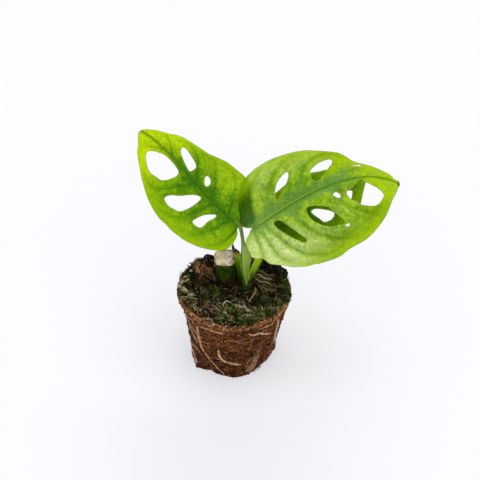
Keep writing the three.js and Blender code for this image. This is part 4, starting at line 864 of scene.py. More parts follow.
for k in range(len(rows)):
    z, x, y, r, t = rows[k, :5]
    f = np.linspace(0, 1, nA)
    a = np.radians(a0[k] + (a1[k] - a0[k]) * f)
    body = 1 - (2 * f - 1) ** 4
    wave = 0.05 * np.sin(f * 44 + 0.3 * z) + 0.35 * dry[k] * np.sin(7 * f + z * 1.3)
    th = 0.16 + (t - 0.12) * body
    ro, ri = r + th + wave, r + wave
    zz = z + 0.7 * f * smooth(z, 65.5, 68.0) + dry[k] * (0.55 * np.sin(f * 17 + 2) + 0.5 * np.sin(f * 41 + 1) + 0.3 * np.sin(f * 73)) * smooth(z, 65.5, 68.0)
    outer = np.stack([x + ro * np.cos(a), y + ro * np.sin(a), zz], 1)
    inner = np.stack([x + ri * np.cos(a), y + ri * np.sin(a), zz], 1)
    rings.append(np.vstack([outer, inner[::-1]]))
    ct_a.append(np.r_[f, f[::-1]])
V, F = loft(rings)
m = Mat("cataphyll_green_dry")
z, ca = m.attr("st_z"), m.attr("ct_a")
streak = m.noise(m.vec(m.mul(ca, 5.0), m.mul(z, 0.08), 0.0), 4.0, 4, 0.65)
blot = m.noise(m.obj(), 380.0, 3, 0.6)
zz = m.add(z, m.add(m.mul(m.math("SUBTRACT", blot, 0.5), 3.0), m.add(m.mul(m.math("SUBTRACT", streak, 0.5), 5.0), m.mul(ca, 0.5))))
col = m.ramp(m.math("DIVIDE", m.math("SUBTRACT", zz, 45.0), 25.0), [(0.0, Cg(20, 36, 0)), (0.28, Cg(28, 52, 0)), (0.48, Cg(50, 82, 0)), (0.68, Cg(76, 108, 0, 1.1)), (0.82, Cg(118, 146, 8, 1.15)), (0.89, Cg(134, 134, 50)), (0.93, Cg(92, 74, 46)), (1.0, Cg(70, 56, 42))])
col = m.mix(m.mul(m.step(streak, 0.5, 0.66), 0.4), col, m.mix(0.5, col, Cg(20, 44, 2)))
rim_l = m.add(m.step(ca, 0.90, 0.98), m.step(ca, 0.10, 0.02))
col = m.mix(m.mul(rim_l, m.step(z, 52, 60, 0.15, 0.6)), col, Cg(150, 168, 60))
dry_f = m.mul(m.step(m.add(z, m.mul(ca, 1.4)), 66.6, 67.8), m.step(blot, 0.36, 0.5))
col = m.mix(dry_f, col, Cg(74, 54, 36))
m.set(Base_Color=col, Roughness=m.math("MULTIPLY_ADD", streak, 0.2, 0.4), Normal=m.bump(m.add(m.mul(streak, 0.8), m.mul(blot, 0.4)), 0.4, 0.00015))
m.set(Subsurface_Weight=0.05, Subsurface_Scale=0.001, Specular_IOR_Level=0.1)
cata = make("cataphyll_bract", V, F, m.m, ["cataphyll"], {"st_z": V[:, 2], "ct_a": np.r_[np.concatenate(ct_a), 0.5, 0.5]})

# Base of the new shoot: ringed with old leaf scars.
K, S = 60, 64
zz = np.linspace(35.2, 46.4, K)
q = 2 * np.pi * np.arange(S) / S
rr = np.interp(zz, [35, 40, 43, 44.6, 45.8, 46.4], [2.6, 3.0, 3.2, 2.8, 2.2, 1.4])
G = np.stack(np.broadcast_arrays(zz[:, None], q[None]), -1)
pts = np.stack([np.cos(q)[None] * 3 + 0 * G[..., 0], np.sin(q)[None] * 3 + 0 * G[..., 0], G[..., 0]], -1).reshape(-1, 3)
wob = 0.18 * fbm(pts / 1.8, 3, 0.5, 21).reshape(K, S)
scar = 0.16 * np.exp(-(((zz[:, None] + 0.25 * np.sin(q)[None] - 44.9) / 0.18) ** 2)) + 0.12 * np.exp(-(((zz[:, None] + 0.3 * np.cos(q)[None] - 45.8) / 0.16) ** 2)) + 0.12 * np.exp(-(((zz[:, None] - 0.3 * np.cos(q)[None] - 43.6) / 0.2) ** 2))
rad = rr[:, None] + wob - scar
R = np.stack([6.6 + 1.12 * rad * np.cos(q)[None], 4.0 + rad * np.sin(q)[None], G[..., 0]], -1)
V, F = loft(R)
m = Mat("shoot_dark_green")
o = m.obj()
n1 = m.noise(m.scale(o, (1, 1, 0.35)), 900.0, 4, 0.65)
n2 = m.noise(o, 350.0, 3, 0.6)
col = m.ramp(m.add(m.mul(n1, 0.6), m.mul(n2, 0.4)), [(0.38, Cg(26, 38, 2)), (0.5, Cg(44, 62, 10)), (0.62, Cg(72, 92, 26))])
ring = m.step(m.math("ABSOLUTE", m.math("SUBTRACT", m.attr("st_z"), 44.9)), 0.4, 0.1)
col = m.mix(m.mul(ring, 0.6), col, Cg(92, 84, 40))
m.set(Base_Color=col, Roughness=m.math("MULTIPLY_ADD", n1, 0.25, 0.4), Normal=m.bump(n1, 0.4, 0.0002))
m.set(Specular_IOR_Level=0.1)
make("shoot_collar", V, F, m.m, ["shoot_base"], {"st_z": V[:, 2]})

# Old cutting: dark green stump with a node ring, and its dried tan cut end.
K, S = 90, 84
zz = np.linspace(24, 54.6, K)
q = 2 * np.pi * np.arange(S) / S
ax_x, ax_y = -4.25 - 0.03 * (zz - 44), 10.2 + 0.04 * (zz - 44)
shape = 1 + 0.035 * np.cos(2 * q + 0.6) + 0.02 * np.cos(3 * q)
rr = np.interp(zz, [24, 34, 44, 52.0, 53.4, 54.0, 54.6], [4.4, 4.9, 4.92, 4.92, 4.8, 4.6, 3.6])
pts = np.stack([np.cos(q)[None] * 4.6 + 0 * zz[:, None], np.sin(q)[None] * 4.6 + 0 * zz[:, None], 0 * q[None] + zz[:, None]], -1).reshape(-1, 3)
wob = 0.22 * fbm(pts / np.array([2.4, 2.4, 4.0]), 3, 0.55, 33).reshape(K, S) + 0.08 * noise3(pts / np.array([0.5, 0.5, 5.0]), 35).reshape(K, S)
node = 0.18 * np.exp(-(((zz[:, None] + 0.5 * np.sin(q + 1)[None] - 47.6) / 0.55) ** 2)) - 0.06 * np.exp(-(((zz[:, None] + 0.5 * np.sin(q + 1)[None] - 48.5) / 0.25) ** 2))
rad = rr[:, None] * shape[None] + wob + node
R = np.stack([ax_x[:, None] + rad * np.cos(q)[None], ax_y[:, None] + rad * np.sin(q)[None], 0 * q[None] + zz[:, None]], -1)
V, F = loft(R)
m = Mat("old_vine_bark_green")
o = m.obj()
n1 = m.noise(m.scale(o, (1, 1, 0.22)), 1300.0, 4, 0.65)
n2 = m.noise(o, 420.0, 4, 0.65)
n3 = m.noise(o, 1700.0, 2, 0.6)
col = m.ramp(m.add(m.mul(n1, 0.5), m.mul(n2, 0.5)), [(0.38, Cg(14, 34, 0)), (0.48, Cg(32, 58, 2)), (0.58, Cg(54, 80, 8)), (0.70, Cg(86, 98, 32))])
z = m.attr("st_z")
low = m.mul(m.step(m.add(z, m.mul(m.math("SUBTRACT", n2, 0.5), 7.0)), 47.0, 44.5), 0.85)
col = m.mix(low, col, m.mix(n3, Cg(20, 18, 8), Cg(66, 60, 36)))
col = m.mix(m.mul(m.step(m.math("ABSOLUTE", m.math("SUBTRACT", z, 47.8)), 0.5, 0.15), 0.12), col, Cg(80, 74, 40))
col = m.mix(m.mul(m.step(m.add(z, m.mul(m.math("SUBTRACT", n2, 0.5), 1.2)), 53.2, 53.8), 0.9), col, Cg(96, 76, 48))
m.set(Base_Color=col, Roughness=m.math("MULTIPLY_ADD", n1, 0.3, 0.42), Normal=m.bump(m.add(n1, n3), 0.5, 0.0002))
m.set(Specular_IOR_Level=0.08)
make("vine_stump", V, F, m.m, ["vine_cutting"], {"st_z": V[:, 2]})

v, f = _ico(5)
lo = v.copy()
rx = 5.5 * (1 + 0.045 * np.cos(2 * np.arctan2(v[:, 1], v[:, 0]) + 0.6) + 0.03 * np.cos(5 * np.arctan2(v[:, 1], v[:, 0])))
P = np.sign(v) * np.abs(v) ** np.array([0.62, 0.62, 0.46])
zc = 56.0
ang = np.arctan2(v[:, 1], v[:, 0])
V = np.stack([-4.65 + rx * P[:, 0] * 0.97, 10.7 + rx * P[:, 1] * 0.95, zc + 0.25 + 2.3 * P[:, 2] + 0.13 * rx * P[:, 0] * 0.97 * smooth(v[:, 2], -0.5, 0.5)], 1)
r = np.hypot(V[:, 0] + 4.65, V[:, 1] - 10.7)
topf = smooth(v[:, 2], 0.25, 0.8)
V[:, 2] += topf * (0.12 * np.sin(r * 2.6 + 0.8 * np.cos(ang * 2)) * smooth(r, 0.2, 1.4) - 0.4 * np.exp(-(r / 2.4) ** 2))
n = unit(v * np.array([1, 1, 1.4]))
lump = 0.34 * fbm(V / 2.4, 4, 0.5, 41) + 0.07 * fbm(V / 0.6, 2, 0.55, 43)
dcell, _t = cells3(V / 2.3, 47)
crack = np.exp(-((dcell - 0.62) / 0.05) ** 2) * smooth(fbm(V / 3.0, 2, 0.5, 45), -0.1, 0.25)
V = V + n * (lump - 0.2 * crack)[:, None]
V[:, 2] = np.minimum(V[:, 2], 59.6)
m = Mat("callus_dry_tan")
o = m.obj()
n1 = m.noise(o, 480.0, 5, 0.65, 0.4)
n2 = m.noise(o, 1500.0, 4, 0.7)
n3 = m.noise(m.scale(o, (1, 1, 0.4)), 260.0, 3, 0.6)
col = m.ramp(m.add(m.mul(n1, 0.6), m.mul(n2, 0.4)), [(0.38, Cg(176, 134, 102)), (0.46, Cg(252, 222, 186)), (0.55, Cg(255, 242, 214)), (0.66, Cg(255, 252, 236))])
col = m.mix(m.mul(m.step(n3, 0.52, 0.62), 0.45), col, Cg(214, 168, 138))
spotc = m.attr("ca_pink")
col = m.mix(m.mul(spotc, m.step(n2, 0.38, 0.6)), col, Cg(250, 232, 228))
brown = m.attr("ca_brown")
col = m.mix(m.mul(brown, m.step(n1, 0.38, 0.52)), col, Cg(92, 62, 36))
col = m.mix(m.mul(m.attr("ca_crack"), 0.8), col, Cg(112, 86, 60))
m.set(Base_Color=col, Roughness=m.math("MULTIPLY_ADD", n2, 0.2, 0.7), Normal=m.bump(m.add(m.mul(n2, 0.7), m.mul(n1, 0.5)), 0.35, 0.0002))
m.set(Subsurface_Weight=0.04, Subsurface_Scale=0.0008, Specular_IOR_Level=0.15)
low_edge = smooth(-v[:, 2], 0.45, 0.9)
pink = np.exp(-((V[:, 0] + 2.2) / 1.9) ** 2 - ((V[:, 1] - 8.6) / 2.6) ** 2) * smooth(V[:, 2], 57.0, 58.0)
brown = np.clip(np.exp(-((V[:, 0] - 0.2) / 0.8) ** 2) * smooth(V[:, 2], 57.0, 58.0) + 0.6 * low_edge + 0.8 * np.exp(-((V[:, 0] + 0.4) / 0.9) ** 2 - ((V[:, 2] - 54.6) / 0.7) ** 2) + smooth(V[:, 1], 12.0, 15.0) * smooth(V[:, 0], -8.5, -4.5) + 0.7 * np.exp(-((V[:, 0] + 9.6) / 0.5) ** 2), 0, 1)
make("callus_cap", V, [f], m.m, (), {"ca_pink": pink, "ca_brown": brown, "ca_crack": crack})

# A tiny dry scrap at the sheath's edge.
v, f = ICO[2]
V = v * (1 + 0.3 * fbm(v * 2.0, 2, 0.5, 3))[:, None] * np.array([0.34, 0.3, 0.6]) + np.array([9.3, 1.75, 63.2])
m = Mat("dry_scrap_dark")
m.set(Base_Color=m.ramp(m.noise(m.obj(), 2600.0, 3), [(0.4, Cg(26, 30, 6)), (0.6, Cg(58, 56, 20))]), Roughness=0.8, Specular_IOR_Level=0.1)
make("sheath_scrap", V, [f], m.m)


# ------------------------------------------------------------------ root plug
WALL_Z = [0, 6, 12, 20, 26, 32, 36, 39, 41.5, 43.6]
WALL_R = [22.2, 22.5, 23.3, 24.5, 25.4, 26.8, 27.5, 28.3, 29.3, 30.0]
FOOT_ANGLE = [-180, -168, -145, -126, -108, -101, -85, -73, -66, -43, -24, -6, 4, 30, 60, 90, 120, 150, 180]
FOOT_R = [22.6, 22.5, 24.0, 19.9, 20.6, 21.1, 21.8, 21.2, 20.2, 18.0, 19.0, 19.8, 22.8, 22.6, 21.4, 22.4, 21.5, 22.4, 22.6]


def wrap(a):
    return (np.degrees(a) + 180) % 360 - 180


def wall(a, z):
    side = 0.6 * np.cos(a) * np.clip((z - 20) / 10, 0, 1) * np.clip((46 - z) / 6, 0, 1)
    return np.interp(z, WALL_Z, WALL_R) + (np.interp(wrap(a), FOOT_ANGLE, FOOT_R) - 22.2) * np.exp(-z / 5) + side


def bare_rim(a):
    """1 where the fibre rim stands clear of the soil."""
    d = wrap(a)
    return np.clip(smooth(d, -80, -64) * smooth(d, -14, -30) + smooth(d, -108, -122) * smooth(d, -164, -150) + 0.7 * smooth(d, -120, -108) * smooth(d, -68, -80) + 0.5 * smooth(d, 40, 60) * smooth(d, 150, 130), 0, 1)


def around(a, z, r):
    return np.stack([r * np.cos(a), r * np.sin(a), z], -1)


NA = 460
ang = 2 * np.pi * np.arange(NA) / NA
rim = bare_rim(ang)
rows, norms, kinds = [], [], []
foot = wall(ang, np.full(NA, 0.8))
for fr in np.linspace(0.08, 0.97, 9):
    rows.append(around(ang, np.full(NA, 0.34), fr * foot))
    norms.append(np.tile([0, 0, 1.0], (NA, 1)))
    kinds.append(0)
for z, pull in ((0.30, 0.35), (0.42, 0.12), (0.75, 0.02)):
    rows.append(around(ang, np.full(NA, z), wall(ang, np.full(NA, z)) - pull))
    norms.append(around(ang, np.zeros(NA), 1.0))
    kinds.append(1)
first_wall = len(rows)
wall_z = np.linspace(1.05, 42.5, 130)
for z in wall_z:
    rows.append(around(ang, np.full(NA, z), wall(ang, np.full(NA, z))))
    norms.append(around(ang, np.zeros(NA), 1.0))
    kinds.append(1)
last_wall = len(rows)
R0 = wall(ang, np.full(NA, 42.5))
for th in np.radians([22, 45, 68, 90, 112, 135, 158]):
    w = 1.05
    rows.append(around(ang, 42.5 + (0.75 + 0.75 * rim) * np.sin(th), R0 + 0.35 * np.sin(th) - w * (1 - np.cos(th))))
    norms.append(around(ang, np.full(NA, np.sin(th)), np.cos(th)))
    kinds.append(2)
for z in (42.2, 41.7):
    rows.append(around(ang, np.full(NA, z), R0 - 2.1))
    norms.append(around(ang, np.zeros(NA), -0.5))
    kinds.append(2)
for fr in np.linspace(0.9, 0.04, 7):
    rows.append(around(ang, np.full(NA, 41.5), fr * R0))
    norms.append(np.tile([0, 0, 0.0], (NA, 1)))
    kinds.append(3)
G = np.array(rows)
NN = np.array(norms)
kind = np.repeat(kinds, NA)
p = G.reshape(-1, 3)
zf = p[:, 2]
lumps = 0.75 * fbm(p / 7.5, 3, 0.5, 101)
d1, t1 = cells3(p / 1.35 + 0.2 * fbm(p / 0.9, 2, 0.5, 107)[:, None], 103)
d2, t2 = cells3(p / 2.9, 105)
pit = smooth(fbm(p / np.array([1.7, 1.7, 1.5]), 3, 0.6, 109), 0.10, 0.42)
thread = 0.16 * (0.5 - np.abs(noise3(p / np.array([1.6, 1.6, 0.42]), 111)))
tear = fbm(p / 2.4, 3, 0.55, 113)
d3, t3 = cells3(p / 0.85 + 3.3, 121)
h = lumps + 0.6 * (0.5 - d1) + 0.7 * (0.45 - d2) + 0.3 * (0.5 - d3) - 1.2 * pit + thread + 1.1 * tear * np.exp(-zf / 3.5) + 0.55 * tear * smooth(zf, 39, 43) - 0.05
smoothband = smooth(zf, 37.5, 40.0) * smooth(zf, 43.0, 42.0)
h = h * (1 - 0.25 * smoothband) + 0.2 * smoothband
h = np.where(kind == 0, np.abs(0.5 * lumps) + 0.5 * pit, h)
h = np.where(kind == 2, 0.62 * h + 0.55 * fbm(p / 1.3, 3, 0.6, 117) - 0.15, h)
h = np.where(kind == 3, 0, h)
p2 = p + NN.reshape(-1, 3) * h[:, None]
p2[:, 2] = np.where(kind == 1, p2[:, 2] + 0.25 * tear, p2[:, 2])
p2[:, 2] = np.maximum(p2[:, 2], 0.03)
V, F = loft(p2.reshape(G.shape))
cav = np.clip(-h / 1.2, 0, 1)
pl = {"pl_pit": np.r_[np.maximum(pit, cav * 0.7), 0, 0], "pl_h": np.r_[h, 0, 0], "pl_t": np.r_[t1, 0.5, 0.5], "pl_u": np.r_[t2, 0.5, 0.5], "pl_z": np.r_[zf, 0, 41]}
hw = h.reshape(len(G), NA)[first_wall:last_wall]
Rw = np.hypot(p2.reshape(G.shape)[first_wall:last_wall, :, 0], p2.reshape(G.shape)[first_wall:last_wall, :, 1])
Rs = Rw.copy()
for _ in range(3):
    Rs = (Rs + np.roll(Rs, 3, 1) + np.roll(Rs, -3, 1) + np.roll(Rs, 6, 1) + np.roll(Rs, -6, 1)) / 5
    pad = np.vstack([Rs[:1]] * 4 + [Rs] + [Rs[-1:]] * 4)
    Rs = sum(pad[k:k + len(Rs)] for k in range(9)) / 9


def look(table, a, z):
    ia = (np.asarray(a) / (2 * np.pi) * NA) % NA
    iz = np.clip((np.asarray(z) - wall_z[0]) / (wall_z[1] - wall_z[0]), 0, len(wall_z) - 1.001)
    a0, z0 = np.floor(ia).astype(int) % NA, np.floor(iz).astype(int)
    fa, fz = ia - np.floor(ia), iz - z0
    a1 = (a0 + 1) % NA
    return (table[z0, a0] * (1 - fa) + table[z0, a1] * fa) * (1 - fz) + (table[z0 + 1, a0] * (1 - fa) + table[z0 + 1, a1] * fa) * fz


m = Mat("coir_fibre_plug")
o = m.obj()
pitn, hn, tn, un, zn = m.attr("pl_pit"), m.attr("pl_h"), m.attr("pl_t"), m.attr("pl_u"), m.attr("pl_z")
n1 = m.noise(o, 260.0, 4, 0.65)
n2 = m.noise(o, 900.0, 4, 0.7)
n3 = m.noise(m.scale(o, (1, 1, 2.6)), 700.0, 3, 0.6, 0.8)
tone = m.add(m.mul(tn, 0.34), m.add(m.mul(n2, 0.42), m.mul(n1, 0.24)))
col = m.ramp(tone, [(0.26, Cg(22, 8, 0)), (0.38, Cg(50, 22, 4)), (0.49, Cg(78, 38, 12)), (0.60, Cg(112, 60, 24)), (0.72, Cg(160, 106, 60))])
col = m.mix(m.mul(m.step(un, 0.72, 0.9), 0.55), col, Cg(122, 54, 12))
col = m.mix(m.mul(m.step(un, 0.2, 0.06), 0.5), col, Cg(60, 44, 30))
col = m.mix(m.mul(m.step(n3, 0.56, 0.68), 0.5), col, Cg(150, 96, 54))
band = m.mul(m.step(m.add(zn, m.mul(m.math("SUBTRACT", n1, 0.5), 5.0)), 38.6, 41.4), 0.75)
col = m.mix(band, col, m.ramp(m.add(m.mul(n2, 0.6), m.mul(tn, 0.4)), [(0.3, Cg(84, 46, 20)), (0.46, Cg(150, 92, 52)), (0.62, Cg(206, 148, 100)), (0.76, Cg(236, 186, 138))]))
foot_d = m.mul(m.step(m.add(zn, m.mul(m.math("SUBTRACT", n1, 0.5), 8.0)), 7.0, 1.0), 0.35)
col = m.mix(foot_d, col, Cg(58, 36, 20))
# painted shade: near black in the sunken hollows and pits of the wall, darker the deeper they sink
col = m.mix(m.mul(m.step(hn, -0.15, -0.8), 0.8), col, Cg(14, 5, 0))
col = m.mix(m.mul(pitn, 0.8), col, Cg(8, 3, 0))
deep = m.mul(m.step(zn, 30.0, 12.0), 0.25)
col = m.mix(deep, col, Cg(30, 12, 2))
m.set(Base_Color=col, Roughness=m.math("MULTIPLY_ADD", n2, 0.15, 0.82), Normal=m.bump(m.add(m.mul(n2, 0.8), m.mul(n3, 0.5)), 0.8, 0.0004))
m.set(Specular_IOR_Level=0.12)
mat_coir = m.m
make("coir_plug_wall", V, F, mat_coir, ["root_plug"], pl)

# Loose crumbs and short fibres that stand off the wall.
m = Mat("coir_crumbs")
o = m.obj()
tn = m.attr("cr_t")
n2 = m.noise(o, 1600.0, 3, 0.65)
col = m.ramp(m.add(m.mul(tn, 0.75), m.mul(n2, 0.25)), [(0.18, Cg(16, 6, 0)), (0.36, Cg(44, 20, 4)), (0.52, Cg(82, 40, 12)), (0.66, Cg(124, 62, 20)), (0.8, Cg(150, 98, 56)), (0.92, Cg(196, 152, 106))])
m.set(Base_Color=col, Roughness=0.92, Normal=m.bump(n2, 0.7, 0.0002), Specular_IOR_Level=0.1)
mat_crumb = m.m
rng = np.random.default_rng(201)
n = 3400
a = rng.random(n) * 2 * np.pi
z = rng.random(n) ** 0.9 * 42.6 + 0.6
size = 0.15 + 0.36 * rng.random(n) ** 2.2
r = look(Rw, a, z) + size * 0.25
z = np.maximum(z, size * 1.05)
V, F, per = crumbs(rng, around(a, z, r), size, 0, 0.4)
V[:, 2] = np.maximum(V[:, 2], 0.02)
tag = rng.random(n)
make("coir_crumb_grains", V, [F], mat_crumb, (), {"cr_t": np.repeat(tag, per)}, flat=True)

m = Mat("coir_threads")
o = m.obj()
tn, un = m.attr("fi_t"), m.attr("fi_s")
n2 = m.noise(o, 1500.0, 3, 0.6)
col = m.ramp(m.add(m.mul(tn, 0.8), m.mul(n2, 0.2)), [(0.12, Cg(34, 14, 2)), (0.34, Cg(74, 36, 12)), (0.56, Cg(116, 64, 28)), (0.74, Cg(160, 106, 62)), (0.92, Cg(212, 168, 122))])
m.set(Base_Color=col, Roughness=0.78, Specular_IOR_Level=0.2)
mat_thread = m.m


def wall_threads(rng, n, length, thick, spread, standoff, bias=0.0, zlo=1.0, zhi=42.6, K=6, lift_end=0.0):
    a = rng.random(n) * 2 * np.pi
    z = zlo + rng.random(n) * (zhi - zlo)
    L = length[0] + (length[1] - length[0]) * rng.random(n) ** 1.6
    slope = bias + spread * rng.normal(size=n)
    turn = rng.normal(size=n) * 1.3
    s = np.linspace(-0.5, 0.5, K)
    R = 26.0
    head = slope[:, None] + turn[:, None] * s[None]
    da = np.cumsum(np.cos(head), 1) * (L[:, None] / K) / R
    dz = np.cumsum(np.sin(head), 1) * (L[:, None] / K)
    A = a[:, None] + (da - da.mean(1, keepdims=True)) * rng.choice([-1, 1], n)[:, None]
    Z = np.clip(z[:, None] + dz - dz.mean(1, keepdims=True), 0.35, 42.9)
    out = standoff[0] + (standoff[1] - standoff[0]) * rng.random(n)
    bow = (1 - (2 * s) ** 2)[None] * rng.random(n)[:, None] * 0.25
    lift = lift_end * (rng.random(n) ** 3)[:, None] * (np.clip(s + 0.1, 0, 1) ** 1.5)[None] * 4
    Rr = look(Rs, A, Z) * 0.5 + look(Rw, A, Z) * 0.5 + out[:, None] + bow + lift
    P = around(A, Z, Rr)
    w = thick[0] + (thick[1] - thick[0]) * rng.random(n) ** 2
    W = w[:, None] * (1 - 0.65 * (2 * np.abs(s)) ** 3)[None]
    return P, W


rng = np.random.default_rng(203)
heap = Heap()
for n, length, thick, spread, standoff, zlo, zhi, lift in (
        (960, (1.5, 7.0), (0.05, 0.12), 1.0, (-0.05, 0.18), 1.0, 42.0, 0.0),
        (420, (3.0, 10.0), (0.05, 0.11), 0.6, (0.0, 0.3), 37.5, 43.4, 0.25),
        (260, (2.0, 6.0), (0.05, 0.11), 1.1, (0.0, 0.2), 1.0, 42.0, 0.9)):
    P, W = wall_threads(rng, n, length, thick, spread, standoff, 0.0, zlo, zhi, 6, lift)
    V, F = tubes(P, W, 3)
    tt = rng.random(n)
    heap.add(V, F, fi_t=np.repeat(tt, 18), fi_s=0.0)
heap.make("coir_threads_wall", mat_thread, "coir")

# Roots over the wall.
m = Mat("root_tan")
o = m.obj()
tn, sn, rn = m.attr("ro_t"), m.attr("ro_s"), m.attr("ro_q")
n1 = m.noise(o, 420.0, 4, 0.65)
n2 = m.noise(m.vec(m.mul(rn, 1.2), m.mul(tn, 0.9), sn), 1.6, 4, 0.65)
n3 = m.noise(m.vec(m.mul(rn, 0.5), m.mul(tn, 2.6), sn), 1.4, 3, 0.6)
col = m.ramp(m.add(m.mul(n1, 0.5), m.mul(n2, 0.5)), [(0.36, Cg(140, 96, 66)), (0.47, Cg(186, 142, 108)), (0.56, Cg(212, 172, 136)), (0.68, Cg(232, 204, 174))])
col = m.mix(m.mul(m.step(n3, 0.56, 0.68), 0.55), col, Cg(120, 74, 46))
dirt = m.mul(m.step(m.noise(o, 620.0, 4, 0.75), 0.51, 0.60), 0.8)
col = m.mix(dirt, col, Cg(82, 48, 24))
m.set(Base_Color=col, Roughness=m.math("MULTIPLY_ADD", n2, 0.2, 0.5), Normal=m.bump(m.add(n2, n3), 0.5, 0.0002))
m.set(Subsurface_Weight=0.05, Subsurface_Scale=0.0008, Specular_IOR_Level=0.2)
mat_root = m.m
m = Mat("root_tan_caked")
o = m.obj()
tn, sn, rn = m.attr("ro_t"), m.attr("ro_s"), m.attr("ro_q")
n1 = m.noise(o, 420.0, 4, 0.65)
n2 = m.noise(m.vec(m.mul(rn, 1.2), m.mul(tn, 0.9), sn), 1.6, 4, 0.65)
col = m.ramp(m.add(m.mul(n1, 0.5), m.mul(n2, 0.5)), [(0.36, Cg(112, 74, 46)), (0.47, Cg(164, 122, 88)), (0.56, Cg(204, 166, 130)), (0.68, Cg(232, 206, 176))])
high = m.step(m.xyz(o)[2], 0.006, 0.018)
dirt = m.math("MULTIPLY", m.step(m.add(m.noise(o, 340.0, 4, 0.75), m.mul(high, 0.14)), 0.53, 0.64), 0.85)
col = m.mix(dirt, col, Cg(74, 42, 20))
m.set(Base_Color=col, Roughness=0.8, Normal=m.bump(m.add(n2, n1), 0.6, 0.0003))
m.set(Specular_IOR_Level=0.15)
mat_caked = m.m

WALL_ROOTS = {
    "root_front_left_long": (0.75, [[-132.5, 35.8], [-135.4, 27], [-134.8, 22.5], [-132.5, 18], [-127.5, 14.6], [-119.5, 10.6], [-110.5, 5.6], [-103, 2.6]]),
    "root_left_rim": (0.5, [[-161, 36.5], [-152, 37.4], [-143, 38.2], [-136, 38.9]]),
    "root_front_upper": (0.5, [[-129.5, 36.6], [-120.5, 37.9], [-109.2, 38.0], [-99, 37.4]]),
    "root_left_branch": (0.5, [[-154.5, 30.2], [-150.5, 26.2], [-144.5, 23.2], [-139.8, 20.4]]),
    "root_left_lower": (0.55, [[-166, 10.6], [-157, 12.9], [-148, 14.3], [-139.5, 13.6]]),
    "root_left_foot": (0.6, [[-162.5, 8.6], [-156, 6], [-150, 3.8], [-144.5, 1.9]]),
    "root_front_hook": (0.7, [[-108.6, 22.6], [-107.4, 17.8], [-101.4, 13.9], [-92, 12.6], [-79.5, 11.2]]),
    "root_front_right_wave": (0.6, [[-74, 36.6], [-68.3, 34.6], [-62.3, 34.9], [-54, 32.6], [-42.5, 28.8]]),
    "root_right_edge": (0.8, [[-36.4, 38.2], [-33.4, 31], [-31.0, 24], [-27, 15.5]]),
    "root_right_lower": (0.8, [[-53, 24.5], [-57.9, 17.9], [-60.1, 10.5], [-64.5, 5.0]]),
    "root_right_upper": (0.45, [[-64, 38.4], [-57.7, 38.7], [-50, 38.4], [-41.5, 37.9]]),
    "root_back_right": (0.7, [[12, 37], [18, 29], [27, 22], [33, 13], [31, 4.5]]),
    "root_back_ring": (0.6, [[48, 9], [62, 7.4], [78, 8.6], [94, 7.2], [110, 8.8], [126, 7.6]]),
    "root_back_middle": (0.75, [[66, 37.5], [72, 31], [70, 24], [78, 17.5], [86, 12.4]]),
    "root_back_left": (0.65, [[118, 38], [112, 30], [118, 22.5], [128, 16.5], [134, 12]]),
    "root_back_fork": (0.45, [[100, 34], [94, 28], [95, 21.5], [102, 16]]),
    "root_left_back_long": (0.7, [[148, 37.8], [156, 30], [154, 22], [163, 14], [171, 6]]),
    "root_left_back_cross": (0.45, [[176, 34.6], [170, 30.4], [172, 25], [178, 20.4]]),
}


def strand_mesh(P, r, sides, seed, knob=0.16, taper=(0.35, 0.35), ends=(2.0, 2.0)):
    """One uneven root or strand along evenly spaced points."""
    s = np.r_[0, np.cumsum(np.linalg.norm(np.diff(P, axis=0), axis=1))]
    L = s[-1]
    thin = lerp(taper[0], 1.0, smooth(s, 0, ends[0])) * lerp(taper[1], 1.0, smooth(L - s, 0, ends[1]))
    R = r * thin * (1 + knob * noise3(np.stack([s / 1.6, 0 * s, 0 * s + seed], 1), seed) + 0.5 * knob * noise3(np.stack([s / 0.6, 0 * s, 0 * s + seed], 1), seed + 1))
    V, F = tubes(P[None], R[None], sides)
    n = len(P)
    core = np.repeat(P, sides, 0)
    V = V + (V - core) * (0.14 * fbm(V / 0.8, 2, 0.5, seed + 2))[:, None]
    return V, F, np.repeat(s, sides), np.tile(np.arange(sides) / sides * 6.0, n)


for k, (name, (r, path)) in enumerate(WALL_ROOTS.items()):
    path = np.array(path, float)
    a = np.radians(path[:, 0])
    coarse = around(a, path[:, 1], wall(a, path[:, 1]))
    fine = even(spline(coarse, per=16), 0.55)
    jit = 0.35 * fbm(fine / 4.0 + k * 3.1, 3, 0.55, 301 + k)
    fa = np.arctan2(fine[:, 1], fine[:, 0]) + jit / 26.0
    fz = fine[:, 2] + 0.3 * fbm(fine / 3.2 + k * 1.7, 2, 0.5, 331 + k)
    sink = 0.42 + 0.35 * noise3(np.stack([np.arange(len(fine)) * 0.09, np.zeros(len(fine)), np.full(len(fine), k * 1.0)], 1), 351 + k)
    R = look(Rs, fa, fz) + r * sink
    P = around(fa, fz, R)
    if name == "root_right_lower":
        V, F, s, qq = strand_mesh(P - np.c_[P[:, :2], 0 * P[:, 0]] / 26.0 * 0.36, 0.5, 9, 361 + 3 * k, 0.45)
    elif name == "root_front_left_long":
        V, F, s, qq = strand_mesh(P, 0.76, 9, 361 + 3 * k, 0.2, (0.5, 0.26), (2.0, 42.0))
    else:
        V, F, s, qq = strand_mesh(P, r * 0.92, 9, 361 + 3 * k, 0.2)
    V[:, 2] = np.maximum(V[:, 2], 0.05)
    make(name + "_strand", V, F, mat_caked if name == "root_right_lower" else mat_root, [name], {"ro_t": s, "ro_s": np.full(len(V), k * 2.3), "ro_q": qq})

